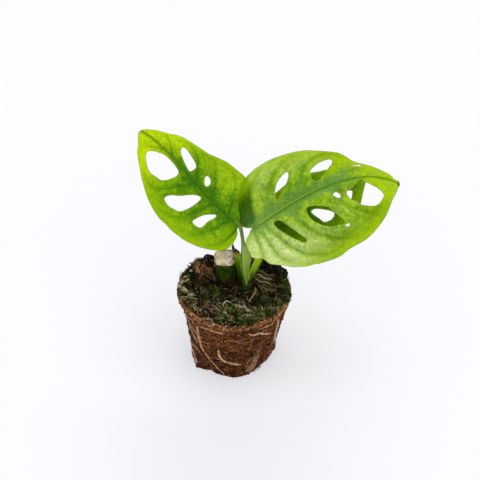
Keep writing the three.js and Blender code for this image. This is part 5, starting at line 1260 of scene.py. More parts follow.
# Fine feeder roots that wander over the wall.
rng = np.random.default_rng(211)
heap = Heap()
for k in range(54):
    n = 26
    L = 8 + 20 * rng.random()
    head = (rng.random() * 2 - 1) * 1.2 + np.cumsum(rng.normal(size=n) * 0.24)
    a = rng.random() * 2 * np.pi + np.cumsum(np.cos(head)) * (L / n) / 26 * rng.choice([-1, 1])
    z = np.clip(5 + rng.random() * 33 + np.cumsum(np.sin(head)) * (L / n), 0.6, 42.4)
    P = even(spline(around(a, z, look(Rs, a, z)), per=3), 0.7)
    a, z = np.arctan2(P[:, 1], P[:, 0]), P[:, 2]
    r = 0.11 + 0.16 * rng.random() ** 1.5
    P = around(a, z, look(Rs, a, z) + 0.1 + 0.25 * fbm(P / 3, 2, 0.5, 400 + k))
    V, F, s, qq = strand_mesh(P, r, 5, 420 + k, 0.2)
    heap.add(V, F, ro_t=s, ro_s=k * 1.1, ro_q=qq)
# a frayed fibre bundle beside the lower right root, and pale wisps by the right edge root
caked = Heap()
for (deg0, z0), (deg1, z1), count, spreadmm, rad in (((-55.5, 22.0), (-67.5, 3.0), 22, 2.7, 0.1), ((-61.5, 10.5), (-69.0, 2.0), 16, 2.6, 0.13), ((-36.0, 37.5), (-30.0, 18.0), 9, 0.8, 0.15), ((-134, 30), (-133, 16), 7, 0.7, 0.14), ((-160, 7), (-150, 1.2), 7, 0.8, 0.14)):
    for k in range(count):
        n = 14
        t = np.linspace(0.15 * rng.random(), 1 - 0.15 * rng.random(), n)
        off = (rng.random() - 0.5) * 2 * spreadmm * (lerp(0.5, 1.3, t) if deg0 < -50 and deg0 > -62 else 1.0)
        a = np.radians(lerp(deg0, deg1, t)) + (off + 0.5 * fbm(np.stack([t * 3, 0 * t, 0 * t + k], 1), 2, 0.5, 450 + k)) / 24
        z = lerp(z0, z1, t) + rng.normal() * 0.5
        z = np.maximum(z, 0.4)
        P = around(a, z, look(Rs, a, z) + (0.02 if -62 < deg0 < -50 else 0.15) + 0.4 * rng.random())
        V, F, s, qq = strand_mesh(P, rad * (0.6 + 0.8 * rng.random()), 5, 470 + k, 0.25)
        (caked if deg0 in (-55.5, -61.5) else heap).add(V, F, ro_t=s, ro_s=k * 0.7 + 31, ro_q=qq)
heap.v = [np.column_stack([v[:, 0], v[:, 1], np.maximum(v[:, 2], 0.03)]) for v in heap.v]
heap.make("fine_roots", mat_root, "root")
caked.v = [np.column_stack([v[:, 0], v[:, 1], np.maximum(v[:, 2], 0.03)]) for v in caked.v]
caked.make("frayed_root_bundle", mat_caked, "root")


# --------------------------------------------------------------- mossy surface
def moss_height(x, y):
    r = np.hypot(x, y)
    h = 43.7 + 0.55 * np.sin(0.42 * x + 0.8) * np.cos(0.37 * y - 0.4) + 0.35 * np.sin(0.95 * x - 0.6 * y)
    h += 0.9 * np.exp(-((x + 15) ** 2 + (y - 14) ** 2) / 90)
    h += 0.5 * np.exp(-((x - 16) ** 2 + (y - 12) ** 2) / 80)
    h -= 0.7 * np.exp(-((x - 2) ** 2 + (y + 1) ** 2) / 40)
    return h - 0.7 * np.clip((r - 24) / 5, 0, 1) ** 2


MOSS_SPOTS = [(-11.3, -5.6, 5.5, 1.0), (-2.0, -16.5, 5.0, 1.0), (6.5, -24.0, 7.5, 0.8), (-6.5, -24.5, 6.0, 0.6), (24.0, -15.0, 6.5, 1.0), (14.5, -10.0, 5.5, 0.8), (28.0, -3.0, 4.0, 0.9),
              (-26.0, 11.5, 5.0, 1.1), (-24.0, -4.0, 4.0, 0.55), (-15.0, 2.5, 4.0, 0.7), (-6.0, 5.0, 3.0, 0.3), (17.0, -20.0, 6.0, 0.8), (-21.0, 20.0, 6.0, 0.9), (0.0, 22.0, 9.0, 0.9),
              (13.0, 25.0, 6.0, 0.9), (26.0, 9.0, 5.0, 0.7), (0.0, -7.0, 4.0, 0.3)]


def moss_density(x, y):
    d = np.zeros(len(x))
    for cx, cy, s, a in MOSS_SPOTS:
        d = np.maximum(d, a * np.exp(-((x - cx) ** 2 + (y - cy) ** 2) / (s * s)))
    n = fbm(np.stack([x / 5.0, y / 5.0, 0 * x], 1), 3, 0.55, 501)
    d = d - 0.5 * np.exp(-((x + 15) / 6) ** 2 - ((y + 19) / 4.5) ** 2)
    return np.clip(d + 0.7 * n, 0, 1)


def gloom(x, y):
    """0 in the hollows between tufts, 1 in the open; it sinks the hollows and sets how much painted shade falls in
    them.
    """
    P = np.stack([x / 2.3, y / 2.3, 0 * x + 3.0], 1)
    Q = np.stack([x / 6.2, y / 5.0, 0 * x + 8.0], 1)
    return smooth(0.8 * fbm(P, 3, 0.6, 561) + 0.6 * fbm(Q, 2, 0.5, 563), -0.12, 0.15)


def surface(x, y):
    """Height of the crumbly soil under the moss."""
    P = np.stack([x, y, 0 * x], 1)
    r = np.hypot(x, y)
    h = moss_height(x, y) - 0.35
    h += 1.2 * fbm(P / 4.4, 3, 0.5, 503) + 0.45 * fbm(P / 1.4, 2, 0.5, 505)
    h -= 1.8 * np.exp(-((x + 13.4) ** 2 + (y - 6.2) ** 2) / 6.5)
    h -= 1.4 * np.exp(-((x - 2.2) ** 2 + (y - 1.0) ** 2) / 16)
    h -= 1.3 * np.exp(-((x - 21) ** 2 + (y - 11) ** 2) / 14)
    h += 1.1 * np.exp(-((x + 18) ** 2 + (y - 17) ** 2) / 46) + 0.8 * np.exp(-((x + 26.5) ** 2 + (y - 8) ** 2) / 12)
    h += 2.4 * np.exp(-((x + 12.5) ** 2 + (y - 20.5) ** 2) / 22) + 1.2 * np.exp(-((x + 19) ** 2 + (y - 16) ** 2) / 16)
    h += 0.8 * np.exp(-((x - 20) ** 2 + (y - 20) ** 2) / 40) - 0.5 * np.exp(-((x + 3) ** 2 + (y + 11) ** 2) / 10)
    h += 0.4 * moss_density(x, y) + 0.9 * (gloom(x, y) - 0.6)
    return h - 0.3 * smooth(r, 27.5, 30)


ca = np.linspace(-np.pi, np.pi, 300, endpoint=False)
edge_r = wall(ca, np.full(300, 43.0)) + 0.1 - 1.35 * bare_rim(ca) + 0.55 * fbm(np.stack([np.cos(ca) * 6, np.sin(ca) * 6, 0 * ca], 1), 3, 0.5, 507)
disc = np.stack([edge_r * np.cos(ca), edge_r * np.sin(ca)], 1)
V2, F2 = triangulate([disc], 0.62, 71)
x, y = V2[:, 0], V2[:, 1]
edge = distance_to(disc, V2)[0]
P = np.stack([x, y, 0 * x], 1)
d1, t1 = cells3(P / 1.5 + 0.25 * fbm(P / 1.0, 2, 0.5, 511)[:, None], 513)
d2, t2 = cells3(P / 3.4, 515)
z = surface(x, y) + 0.9 * (0.5 - d1) + 1.0 * (0.45 - d2) + 0.4 * fbm(P / 0.9, 3, 0.55, 517) - 0.25
z = lerp(42.5, z, smooth(edge, -0.6, 1.3))
mossy = moss_density(x, y)
# painted shade: darker in the hollows between tufts, round the middle of the plug under the leaves and in the deep
# hollow at x -13.4, y 6.6
dark = np.clip(0.9 * (1 - gloom(x, y)) + 0.6 * np.exp(-((x - 0.5) ** 2 + (y + 6) ** 2) / 50) + np.exp(-((x - 3) ** 2 + (y - 1) ** 2) / 70) + np.exp(-((x + 13.4) ** 2 + (y - 6.6) ** 2) / 12) + 0.7 * np.exp(-((x - 12) ** 2 + (y - 9) ** 2) / 60), 0, 1)
n = len(V2)
E2 = free_edges(F2)
walls = np.stack([E2[:, 0], E2[:, 0] + n, E2[:, 1] + n, E2[:, 1]], 1)
both = lambda q: np.r_[q, q]
m = Mat("soil_crumb")
o = m.obj()
tn, un, mn, painted_shade_n = m.attr("so_t"), m.attr("so_u"), m.attr("so_m"), m.attr("so_painted_shade")
n1 = m.noise(o, 300.0, 4, 0.65)
n2 = m.noise(o, 1100.0, 4, 0.7)
tone = m.add(m.mul(tn, 0.35), m.add(m.mul(n2, 0.4), m.mul(n1, 0.25)))
col = m.ramp(tone, [(0.3, Cg(9, 6, 1)), (0.44, Cg(26, 18, 6)), (0.54, Cg(58, 40, 20)), (0.66, Cg(104, 80, 50)), (0.78, Cg(146, 124, 90))])
col = m.mix(m.mul(m.step(un, 0.7, 0.9), 0.5), col, Cg(86, 50, 28))
green = m.ramp(n2, [(0.35, Cg(6, 10, 0)), (0.5, Cg(20, 28, 4)), (0.65, Cg(52, 62, 20))])
col = m.mix(m.mul(m.step(m.add(mn, m.mul(m.math("SUBTRACT", n1, 0.5), 0.8)), 0.25, 0.6), 0.85), col, green)
# painted shade in the hollows and under the leaves
col = m.mix(m.mul(painted_shade_n, 0.6), col, Cg(14, 12, 4))
m.set(Base_Color=col, Roughness=0.92, Normal=m.bump(m.add(n2, m.mul(n1, 0.5)), 0.9, 0.0004), Specular_IOR_Level=0.12)
mat_soil = m.m
make("soil_surface", np.vstack([np.column_stack([x, y, z]), np.column_stack([x * 0.99, y * 0.99, np.full(n, 41.75)])]), [np.vstack([F2, F2[:, ::-1] + n]), walls], mat_soil, ["moss_layer"],
     {"so_t": both(t1), "so_u": both(t2), "so_m": both(mossy), "so_painted_shade": both(dark)})


def free_of_plant(x, y, gap=0.4):
    """True where neither the stump nor the shoot stands."""
    ok = np.hypot(x + 2.0, y - 10.2) > 4.9 + gap
    ok &= np.hypot((x - 6.6) / 1.12, y - 4.0) > 3.6 + gap
    return ok


def scatter(rng, n, weight, rmax=29.2):
    out = []
    have = 0
    while have < n:
        q = (rng.random((n * 2, 2)) * 2 - 1) * 30
        a = np.arctan2(q[:, 1], q[:, 0])
        lim = np.minimum(rmax, np.interp(a, ca, edge_r) - 0.1)
        ok = (np.hypot(q[:, 0], q[:, 1]) < lim) & free_of_plant(q[:, 0], q[:, 1])
        ok &= rng.random(len(q)) < weight(q[:, 0], q[:, 1])
        out.append(q[ok])
        have += ok.sum()
    return np.concatenate(out)[:n]


def tufts(rng, at, leaves, length, width, tilt, sink=0.25):
    n = len(at)
    base = np.column_stack([at, surface(at[:, 0], at[:, 1]) - sink])
    outw = at / np.maximum(np.hypot(at[:, 0], at[:, 1])[:, None], 1)
    lean = np.column_stack([outw * smooth(np.hypot(at[:, 0], at[:, 1]), 22, 30)[:, None] * 0.5 + rng.normal(size=(n, 2)) * 0.22, np.ones(n)])
    axis = unit(lean)
    q = rng.random((n, leaves)) * 2 * np.pi
    ph = np.radians(tilt[0] + (tilt[1] - tilt[0]) * rng.random((n, leaves)))
    side = np.stack([np.cos(q), np.sin(q), 0 * q], -1)
    D = unit(axis[:, None] * np.cos(ph)[..., None] + side * np.sin(ph)[..., None])
    L = (length[0] + (length[1] - length[0]) * rng.random((n, 1)) ** 1.5) * (0.6 + 0.55 * rng.random((n, leaves)))
    b = base[:, None] + axis[:, None] * (rng.random((n, leaves)) * 0.35 * L)[..., None]
    t = b + D * L[..., None]
    wide = np.cross(D, side) + 0.3 * rng.normal(size=D.shape)
    w = width[0] + (width[1] - width[0]) * rng.random((n, leaves))
    V, F = spindles(b.reshape(-1, 3), t.reshape(-1, 3), unit(wide.reshape(-1, 3)), w.ravel(), (w * 0.28).ravel())
    return V, F, n * leaves


m = Mat("moss_tufts")
o = m.obj()
tn, en, painted_shade_n = m.attr("mo_t"), m.attr("mo_e"), m.attr("mo_painted_shade")
n1 = m.noise(o, 240.0, 3, 0.6)
n2 = m.noise(o, 1500.0, 3, 0.6)
base_c = m.ramp(m.add(m.mul(tn, 0.6), m.mul(n1, 0.4)), [(0.12, Cg(2, 4, 0)), (0.34, Cg(12, 19, 1)), (0.52, Cg(32, 44, 6)), (0.68, Cg(64, 74, 22)), (0.86, Cg(108, 102, 52))])
tip_c = m.ramp(m.add(m.mul(tn, 0.6), m.mul(n1, 0.4)), [(0.12, Cg(12, 22, 0)), (0.34, Cg(50, 76, 6)), (0.52, Cg(104, 130, 26)), (0.68, Cg(166, 174, 84)), (0.86, Cg(228, 220, 160))])
# darker at the leaf bases, lighter at the tips: partly the moss's paler tips, partly painted shade down in the tuft and
# painted highlight on the tips
col = m.mix(m.mul(m.step(en, 0.3, 1.0), 0.75), base_c, tip_c)
# painted shade mixed in round the middle under the leaves and in the deep hollow
col = m.mix(m.mul(painted_shade_n, 0.65), col, Cg(16, 18, 4))
col = m.mix(m.mul(m.step(n2, 0.55, 0.7), 0.3), col, Cg(92, 78, 44))
m.set(Base_Color=col, Roughness=0.72, Specular_IOR_Level=0.15)
m.set(Subsurface_Weight=0.05, Subsurface_Scale=0.0006)
mat_moss = m.m


def moss_piece(name, seed, n, leaves, length, width, tilt, weight, sink=0.25, tone=(0.0, 1.0)):
    rng = np.random.default_rng(seed)
    at = scatter(rng, n, weight)
    V, F, count = tufts(rng, at, leaves, length, width, tilt, sink)
    clump = 0.5 + 0.5 * fbm(np.stack([at[:, 0] / 2.6, at[:, 1] / 2.6, np.full(n, 5.0)], 1), 2, 0.5, seed)
    # tone per tuft: random by clump, darker in the hollows between tufts and round the middle under the leaves, which
    # is painted shade, and a little lighter towards the front
    t = np.clip(lerp(tone[0], tone[1], 1.3 * (rng.random(n) - 0.5) * 0.8 + 0.5 + 1.1 * (clump - 0.5)), 0, 1) * (0.16 + 0.84 * gloom(at[:, 0], at[:, 1]))
    t = np.clip(t + 0.14 * smooth(-at[:, 1], 8, 18) - 0.28 * np.exp(-((at[:, 0] - 1) ** 2 + (at[:, 1] + 3) ** 2) / 90), 0, 1)
    # painted shade: round the middle under the leaves and in the deep hollow at x -13.4, y 6.6
    painted_shade_k = np.clip(np.exp(-((at[:, 0] - 3) ** 2 + (at[:, 1] - 1) ** 2) / 60) + np.exp(-((at[:, 0] + 13.4) ** 2 + (at[:, 1] - 6.6) ** 2) / 12), 0, 1)
    make(name, V, [F], mat_moss, (), {"mo_t": np.repeat(t, leaves * 5), "mo_e": np.tile([0, 0.45, 0.45, 0.45, 1.0], count), "mo_painted_shade": np.repeat(painted_shade_k, leaves * 5)}, flat=False)


moss_piece("moss_tufts_tall", 601, 1320, 12, (1.2, 3.0), (0.2, 0.42), (8, 78), lambda x, y: np.clip(moss_density(x, y) * 1.3 - 0.2, 0.02, 1), 0.1)
moss_piece("moss_tufts_small", 603, 1700, 8, (0.6, 1.5), (0.16, 0.34), (20, 88), lambda x, y: np.clip(moss_density(x, y) * 0.9 + 0.15, 0, 1), 0.1, (0.0, 0.9))
moss_piece("moss_tufts_rim", 609, 330, 11, (0.9, 2.0), (0.18, 0.34), (15, 95), lambda x, y: np.clip(smooth(np.hypot(x, y), 26.8, 28.8) * (0.1 + 0.9 * moss_density(x, y)) * (1 - 0.75 * bare_rim(np.arctan2(y, x))), 0, 1), 0.1, (0.1, 0.95))

m = Mat("soil_bits")
o = m.obj()
tn, painted_shade_n = m.attr("cr_t"), m.attr("cr_painted_shade")
n2 = m.noise(o, 1500.0, 3, 0.65)
col = m.ramp(m.add(m.mul(tn, 0.78), m.mul(n2, 0.22)), [(0.12, Cg(7, 4, 1)), (0.30, Cg(34, 20, 8)), (0.46, Cg(72, 46, 26)), (0.60, Cg(100, 68, 42)), (0.76, Cg(122, 102, 72)), (0.93, Cg(160, 142, 108))])
# painted shade in the hollows and under the leaves
col = m.mix(m.mul(painted_shade_n, 0.6), col, Cg(14, 11, 6))
m.set(Base_Color=col, Roughness=0.92, Normal=m.bump(n2, 0.7, 0.0002), Specular_IOR_Level=0.12)
mat_bits = m.m
rng = np.random.default_rng(605)
n = 3600
at = scatter(rng, n, lambda x, y: np.clip(1.05 - 0.75 * moss_density(x, y), 0.12, 1))
size = 0.22 + 0.75 * rng.random(n) ** 2.4
c = np.column_stack([at, surface(at[:, 0], at[:, 1]) + size * 0.5 + 0.7 * rng.random(n) ** 2])
V, F, per = crumbs(rng, c, size, 0, 0.55)
# painted shade: darker in the hollows between tufts, round the middle under the leaves and in the deep hollow at x
# -13.4, y 6.6
painted_shade_k = np.clip(0.7 * (1 - gloom(at[:, 0], at[:, 1])) + 0.6 * np.exp(-((at[:, 0] - 0.5) ** 2 + (at[:, 1] + 6) ** 2) / 50) + np.exp(-((at[:, 0] - 3) ** 2 + (at[:, 1] - 1) ** 2) / 60) + np.exp(-((at[:, 0] + 13.4) ** 2 + (at[:, 1] - 6.6) ** 2) / 12), 0, 1)
make("soil_bits_loose", V, [F], mat_bits, (), {"cr_t": np.repeat(rng.random(n) ** 1.25, per), "cr_painted_shade": np.repeat(painted_shade_k, per)}, flat=True)

# Dry strands lying in the moss.
m = Mat("dry_straw")
o = m.obj()
tn, sn, rn = m.attr("ro_t"), m.attr("ro_s"), m.attr("ro_q")
n1 = m.noise(o, 500.0, 3, 0.6)
n2 = m.noise(m.vec(m.mul(rn, 1.2), m.mul(tn, 0.7), sn), 1.6, 3, 0.6)
col = m.ramp(m.add(m.mul(sn, 0.6), m.add(m.mul(n1, 0.2), m.mul(n2, 0.2))), [(0.18, Cg(66, 50, 26)), (0.36, Cg(116, 98, 60)), (0.55, Cg(172, 156, 110)), (0.75, Cg(226, 216, 176))])
m.set(Base_Color=col, Roughness=0.7, Normal=m.bump(n2, 0.4, 0.0001), Specular_IOR_Level=0.2)
mat_straw = m.m
rng = np.random.default_rng(607)
heap = Heap()
for k in range(430):
    at = scatter(rng, 1, lambda x, y: 0.35 + 0.65 * smooth(-y, -4, 14))[0]
    L = 1.6 + 7.5 * rng.random() ** 1.6
    n = 9
    head = rng.random() * 2 * np.pi + np.cumsum(rng.normal(size=n) * 0.34 + rng.normal() * 0.2)
    px = at[0] + np.cumsum(np.cos(head)) * L / n
    py = at[1] + np.cumsum(np.sin(head)) * L / n
    rr = np.hypot(px, py)
    k2 = np.minimum(1, (np.interp(np.arctan2(py, px), ca, edge_r) + 0.2) / np.maximum(rr, 1e-3))
    px, py = px * k2, py * k2
    if not free_of_plant(px, py, 0.2).all():
        continue
    lift = 0.35 + 0.8 * rng.random() * np.sin(np.linspace(0, np.pi, n)) + 0.3 * rng.random()
    r = 0.06 + 0.1 * rng.random() ** 1.6
    P = spline(np.column_stack([px, py, surface(px, py) + lift]), per=2)
    V, F, s, qq = strand_mesh(P, r, 4, 700 + k, 0.15)
    heap.add(V, F, ro_t=s, ro_s=rng.random(), ro_q=qq)
heap.make("dry_strands", mat_straw, "straw")

m = Mat("arch_root_brown")
o = m.obj()
n1 = m.noise(o, 500.0, 4, 0.65)
n2 = m.noise(m.vec(m.mul(m.attr("ro_q"), 1.2), m.mul(m.attr("ro_t"), 0.8), 0.0), 1.6, 4, 0.65)
col = m.ramp(m.add(m.mul(n1, 0.5), m.mul(n2, 0.5)), [(0.36, Cg(40, 24, 8)), (0.48, Cg(86, 62, 34)), (0.58, Cg(122, 96, 62)), (0.7, Cg(158, 134, 98))])
m.set(Base_Color=col, Roughness=0.8, Normal=m.bump(n2, 0.6, 0.0003), Specular_IOR_Level=0.15)
mat_arch = m.m

LOOSE = {
    "root_arch": ([[-18.0, 5.4], [-16.9, 8.6, 0.8], [-13.4, 10.1, 1.4], [-10.8, 8.2, 0.8], [-9.9, 4.2]], 0.62, mat_arch, 0.4),
    "straw_1": ([[11.6, 14.2, 0.9], [15, 11.6, 0.9], [19.6, 9.6, 0.6]], 0.35, mat_straw, 0.35),
    "straw_2": ([[11.6, 10.8], [15.4, 8.6, 0.2], [20.3, 6.2]], 0.4, mat_straw, 0.6),
    "straw_3": ([[11.2, 6.6], [15, 4.4, 0.2], [20.2, 2.0]], 0.4, mat_straw, 0.5),
    "straw_4": ([[12.8, 1.2], [17.4, -1.6, 0.3], [23.0, -2.4]], 0.35, mat_straw, 0.3),
    "root_tip_front": ([[11.2, 0.0, 1.4], [11.7, -2.9, 0.8], [10.1, -7.5, 0.3], [7.5, -12.2]], 0.34, mat_root, 0.5),
    "fibre_curl": ([[-5.6, -15.2], [-4.7, -12.0, 0.4], [-3.0, -10.9, 0.6], [-1.4, -11.7, 0.4], [-0.3, -14.2]], 0.26, mat_straw, 0.85),
    "fibre_front": ([[-6.6, -17.4], [-4.0, -19.8, 0.2], [-1.8, -22.6]], 0.26, mat_straw, 0.8),
    "fibre_right": ([[14.2, -13.8], [15.0, -17.3, 0.2], [14.6, -21.4]], 0.28, mat_straw, 0.8),
    "root_rim_left": ([[-28.2, 3.0], [-25.6, -1.2, 0.2], [-21.6, -4.6]], 0.26, mat_straw, 0.8),
}
for k, (name, (path, r, mat, tone)) in enumerate(LOOSE.items()):
    pts = np.array([(q + [0])[:3] for q in path], float)
    fine = even(spline(pts, per=14), 0.4, dims=2)
    x, y = fine[:, 0], fine[:, 1]
    x = x + 0.2 * noise3(np.stack([x / 1.7, y / 1.7, 0 * x + k], 1), 801 + k)
    y = y + 0.2 * noise3(np.stack([x / 1.7, y / 1.7, 0 * x + k + 9], 1), 821 + k)
    P = np.column_stack([x, y, moss_height(x, y) + r + 0.55 + fine[:, 2] + 0.12 * noise3(np.stack([x / 1.2, y / 1.2, 0 * x], 1), 841 + k)])
    V, F, s, qq = strand_mesh(P, r, 8, 851 + k, 0.2)
    make(name + "_strand", V, F, mat, [name], {"ro_t": s, "ro_s": np.full(len(V), tone), "ro_q": qq})

# Layered dry strands on the right, a pale clump in front, wisps round the curl.
rng = np.random.default_rng(611)
heap = Heap()


def lay(heap, rng, count, start, end, spread, r, lift, tone, bend=0.6, seed=900):
    start, end = np.array(start, float), np.array(end, float)
    d = unit(end - start)
    nrm = np.array([-d[1], d[0]])
    for k in range(count):
        o1, o2 = (rng.random(2) - 0.5) * 2 * spread
        t = np.linspace(-0.12 * rng.random(), 1 + 0.12 * rng.random(), 9)
        p = start + (end - start) * t[:, None] + nrm * (lerp(o1, o2, t) + bend * rng.normal() * np.sin(np.pi * t))[:, None]
        z = np.maximum(surface(p[:, 0], p[:, 1]), moss_height(p[:, 0], p[:, 1]) - 0.4) + lift[0] + (lift[1] - lift[0]) * rng.random()
        P = spline(np.column_stack([p, z]), per=3)
        V, F, s, qq = strand_mesh(P, r[0] + (r[1] - r[0]) * rng.random(), 5, seed + k, 0.2)
        heap.add(V, F, ro_t=s, ro_s=np.clip(tone + 0.16 * rng.normal(), 0.02, 1), ro_q=qq)


lay(heap, rng, 12, (12.4, 12.6), (21.2, 9.6), 1.6, (0.08, 0.2), (0.3, 1.2), 0.16, 0.3, 901)
lay(heap, rng, 10, (11.2, 7.6), (21.6, 4.6), 1.8, (0.08, 0.2), (0.3, 1.1), 0.16, 0.3, 921)
lay(heap, rng, 8, (16.0, 3.2), (27.0, 1.0), 2.6, (0.08, 0.18), (0.3, 1.0), 0.2, 0.6, 941)
lay(heap, rng, 6, (0.2, -13.6), (8.2, -17.6), 0.9, (0.07, 0.16), (0.7, 1.4), 0.85, 0.5, 961)
lay(heap, rng, 3, (-9.0, -12.6), (-2.0, -22.0), 2.6, (0.06, 0.1), (0.8, 1.4), 0.8, 0.7, 1081)
lay(heap, rng, 4, (3.0, -23.6), (12.0, -23.0), 1.6, (0.06, 0.12), (0.8, 1.4), 0.85, 0.5, 1091)
lay(heap, rng, 3, (7.0, -15.0), (13.5, -20.5), 2.4, (0.06, 0.1), (0.8, 1.4), 0.8, 0.6, 1101)
lay(heap, rng, 4, (-27.0, -7.0), (-20.0, -6.6), 0.7, (0.07, 0.12), (0.7, 1.2), 0.75, 0.5, 1111)
lay(heap, rng, 5, (-5.4, -15.4), (-4.6, -18.6), 1.2, (0.07, 0.14), (0.4, 1.0), 0.75, 0.8, 981)
lay(heap, rng, 4, (-3.0, -11.2), (-3.6, -16.6), 1.4, (0.07, 0.13), (0.5, 1.1), 0.8, 0.9, 991)
lay(heap, rng, 4, (5.0, -25.0), (8.0, -22.4), 1.0, (0.07, 0.13), (0.4, 1.1), 0.75, 0.6, 1001)
lay(heap, rng, 3, (14.5, -23.8), (17.5, -21.4), 0.8, (0.07, 0.13), (0.4, 1.1), 0.75, 0.6, 1011)
lay(heap, rng, 6, (-28.4, 4.5), (-24.0, 7.6), 1.5, (0.14, 0.3), (0.5, 1.4), 0.7, 0.5, 1021)
lay(heap, rng, 6, (-29.0, 2.6), (-22.0, -5.6), 0.8, (0.1, 0.2), (0.4, 0.9), 0.7, 0.5, 1041)
lay(heap, rng, 6, (22.0, -17.0), (28.6, -7.0), 0.9, (0.07, 0.14), (0.4, 0.9), 0.7, 0.4, 1061)
heap.make("straw_layers", mat_straw, "straw")


# ------------------------------------------------- bark, peat and perlite bits
def chunk(name, at, half, turn, seed, mat, replaces, ragged, layer=0.0, detail=5, power=0.7, extra=None):
    v, f = _ico(detail)
    P = np.sign(v) * np.abs(v) ** power
    P = P * np.asarray(half)
    d1, t1 = cells3(P / 1.3, seed)
    disp = ragged * (0.9 * fbm(P / 2.4, 4, 0.6, seed + 1) + 0.45 * (0.5 - d1))
    if layer:
        disp = disp + layer * noise3(P / np.array([0.6, 3.0, 3.0]), seed + 2)
    P = P + unit(v / np.asarray(half)) * disp[:, None]
    a = math.radians(turn)
    Rz = np.array([[math.cos(a), -math.sin(a), 0], [math.sin(a), math.cos(a), 0], [0, 0, 1]])
    P = P @ Rz.T + np.asarray(at)
    make(name, P, [f], mat, replaces, {"ch_h": disp, "ch_t": t1, "ch_u": (v @ Rz.T)[:, 2]})


m = Mat("bark_red_brown")
o = m.obj()
hn, tn = m.attr("ch_h"), m.attr("ch_t")
n1 = m.noise(m.scale(o, (3.0, 0.8, 0.8)), 420.0, 4, 0.65, 0.6)
n2 = m.noise(o, 1500.0, 4, 0.7)
col = m.ramp(m.add(m.mul(n1, 0.6), m.mul(n2, 0.4)), [(0.40, Cg(14, 6, 0)), (0.47, Cg(66, 32, 14)), (0.53, Cg(136, 84, 48)), (0.60, Cg(214, 176, 138))])
# painted shade: near black where the surface sinks into hollows
col = m.mix(m.mul(m.step(hn, -0.05, -0.5), 0.8), col, Cg(24, 12, 4))
m.set(Base_Color=col, Roughness=0.88, Normal=m.bump(m.add(n1, m.mul(n2, 0.6)), 0.8, 0.0004), Specular_IOR_Level=0.15)
chunk("bark_chunk_piece", (-17.4, 14.6, 46.0), (3.7, 4.4, 2.1), 20, 1101, m.m, ["bark_chunk"], 1.7, 0.7)
mat_bark = m.m
m = Mat("peat_black")
o = m.obj()
hn, tn = m.attr("ch_h"), m.attr("ch_t")
n1 = m.noise(o, 380.0, 4, 0.65)
n2 = m.noise(o, 1400.0, 4, 0.7)
col = m.ramp(m.add(m.mul(n1, 0.45), m.add(m.mul(n2, 0.35), m.mul(tn, 0.2))), [(0.40, Cg(3, 2, 1)), (0.5, Cg(15, 10, 8)), (0.57, Cg(50, 38, 32)), (0.65, Cg(112, 94, 78))])
m.set(Base_Color=col, Roughness=0.9, Normal=m.bump(m.add(n1, m.mul(n2, 0.7)), 0.9, 0.0004), Specular_IOR_Level=0.15)
chunk("peat_chunk_piece", (19.6, 17.0, 45.6), (6.2, 4.2, 2.3), -20, 1111, m.m, ["peat_chunk"], 1.7, 0.0, 5, 0.9)
mat_peat = m.m
chunk("peat_chunk_rim", (26.0, 12.6, 44.9), (2.4, 3.4, 1.5), 30, 1121, mat_peat, (), 1.3, 0.0, 4, 0.9)
chunk("peat_chunk_low", (13.8, 20.6, 45.2), (2.2, 2.4, 1.7), 10, 1131, mat_peat, (), 1.3, 0.0, 4, 0.9)
chunk("peat_chunk_left", (-12.6, 20.8, 47.6), (3.2, 2.4, 1.6), -15, 1141, mat_peat, (), 1.6, 0.0, 4, 0.9)
chunk("bark_scrap_left", (-12.9, 12.6, 46.3), (1.6, 2.0, 0.9), 50, 1151, mat_bark, (), 0.9, 0.4, 4)
chunk("bark_scrap_rim", (-26.6, 6.8, 44.9), (1.9, 1.3, 0.8), 15, 1161, mat_bark, (), 0.8, 0.3, 4)
# crumbs that have broken off the peat and lie round it, and round the back left edge
rng = np.random.default_rng(613)
heap = Heap()
for (cx, cy, sx, sy, n, s0, s1, up) in ((20.0, 16.5, 6.5, 4.6, 420, 0.3, 1.2, 1.6), (26.0, 10.0, 2.6, 4.6, 130, 0.25, 0.85, 0.5), (-15.0, 19.5, 6.0, 4.0, 380, 0.3, 1.2, 1.2), (-24.0, 14.0, 3.5, 4.0, 130, 0.25, 0.8, 0.4), (-13.5, 6.5, 5.5, 4.0, 110, 0.25, 0.8, 0.3)):
    q = rng.normal(size=(n, 2)) * np.array([sx, sy]) * 0.55 + np.array([cx, cy])
    a = np.arctan2(q[:, 1], q[:, 0])
    q = q[np.hypot(q[:, 0], q[:, 1]) < np.interp(a, ca, edge_r) + 0.3]
    q = q[free_of_plant(q[:, 0], q[:, 1], 0.2)]
    n = len(q)
    size = s0 + (s1 - s0) * rng.random(n) ** 2.5
    z = surface(q[:, 0], q[:, 1]) + size * 0.4 + up * rng.random(n) * np.exp(-((q[:, 0] - cx) / sx) ** 2 - ((q[:, 1] - cy) / sy) ** 2)
    V, F, per = crumbs(rng, np.column_stack([q, z]), size * 0.8, 0, 0.5)
    heap.add(V, [F], ch_h=np.repeat(rng.random(n) * 0.4 - 0.2, per), ch_t=np.repeat(rng.random(n), per), ch_u=0.0)
heap.make("peat_crumbs", mat_peat, "peat", flat=True)

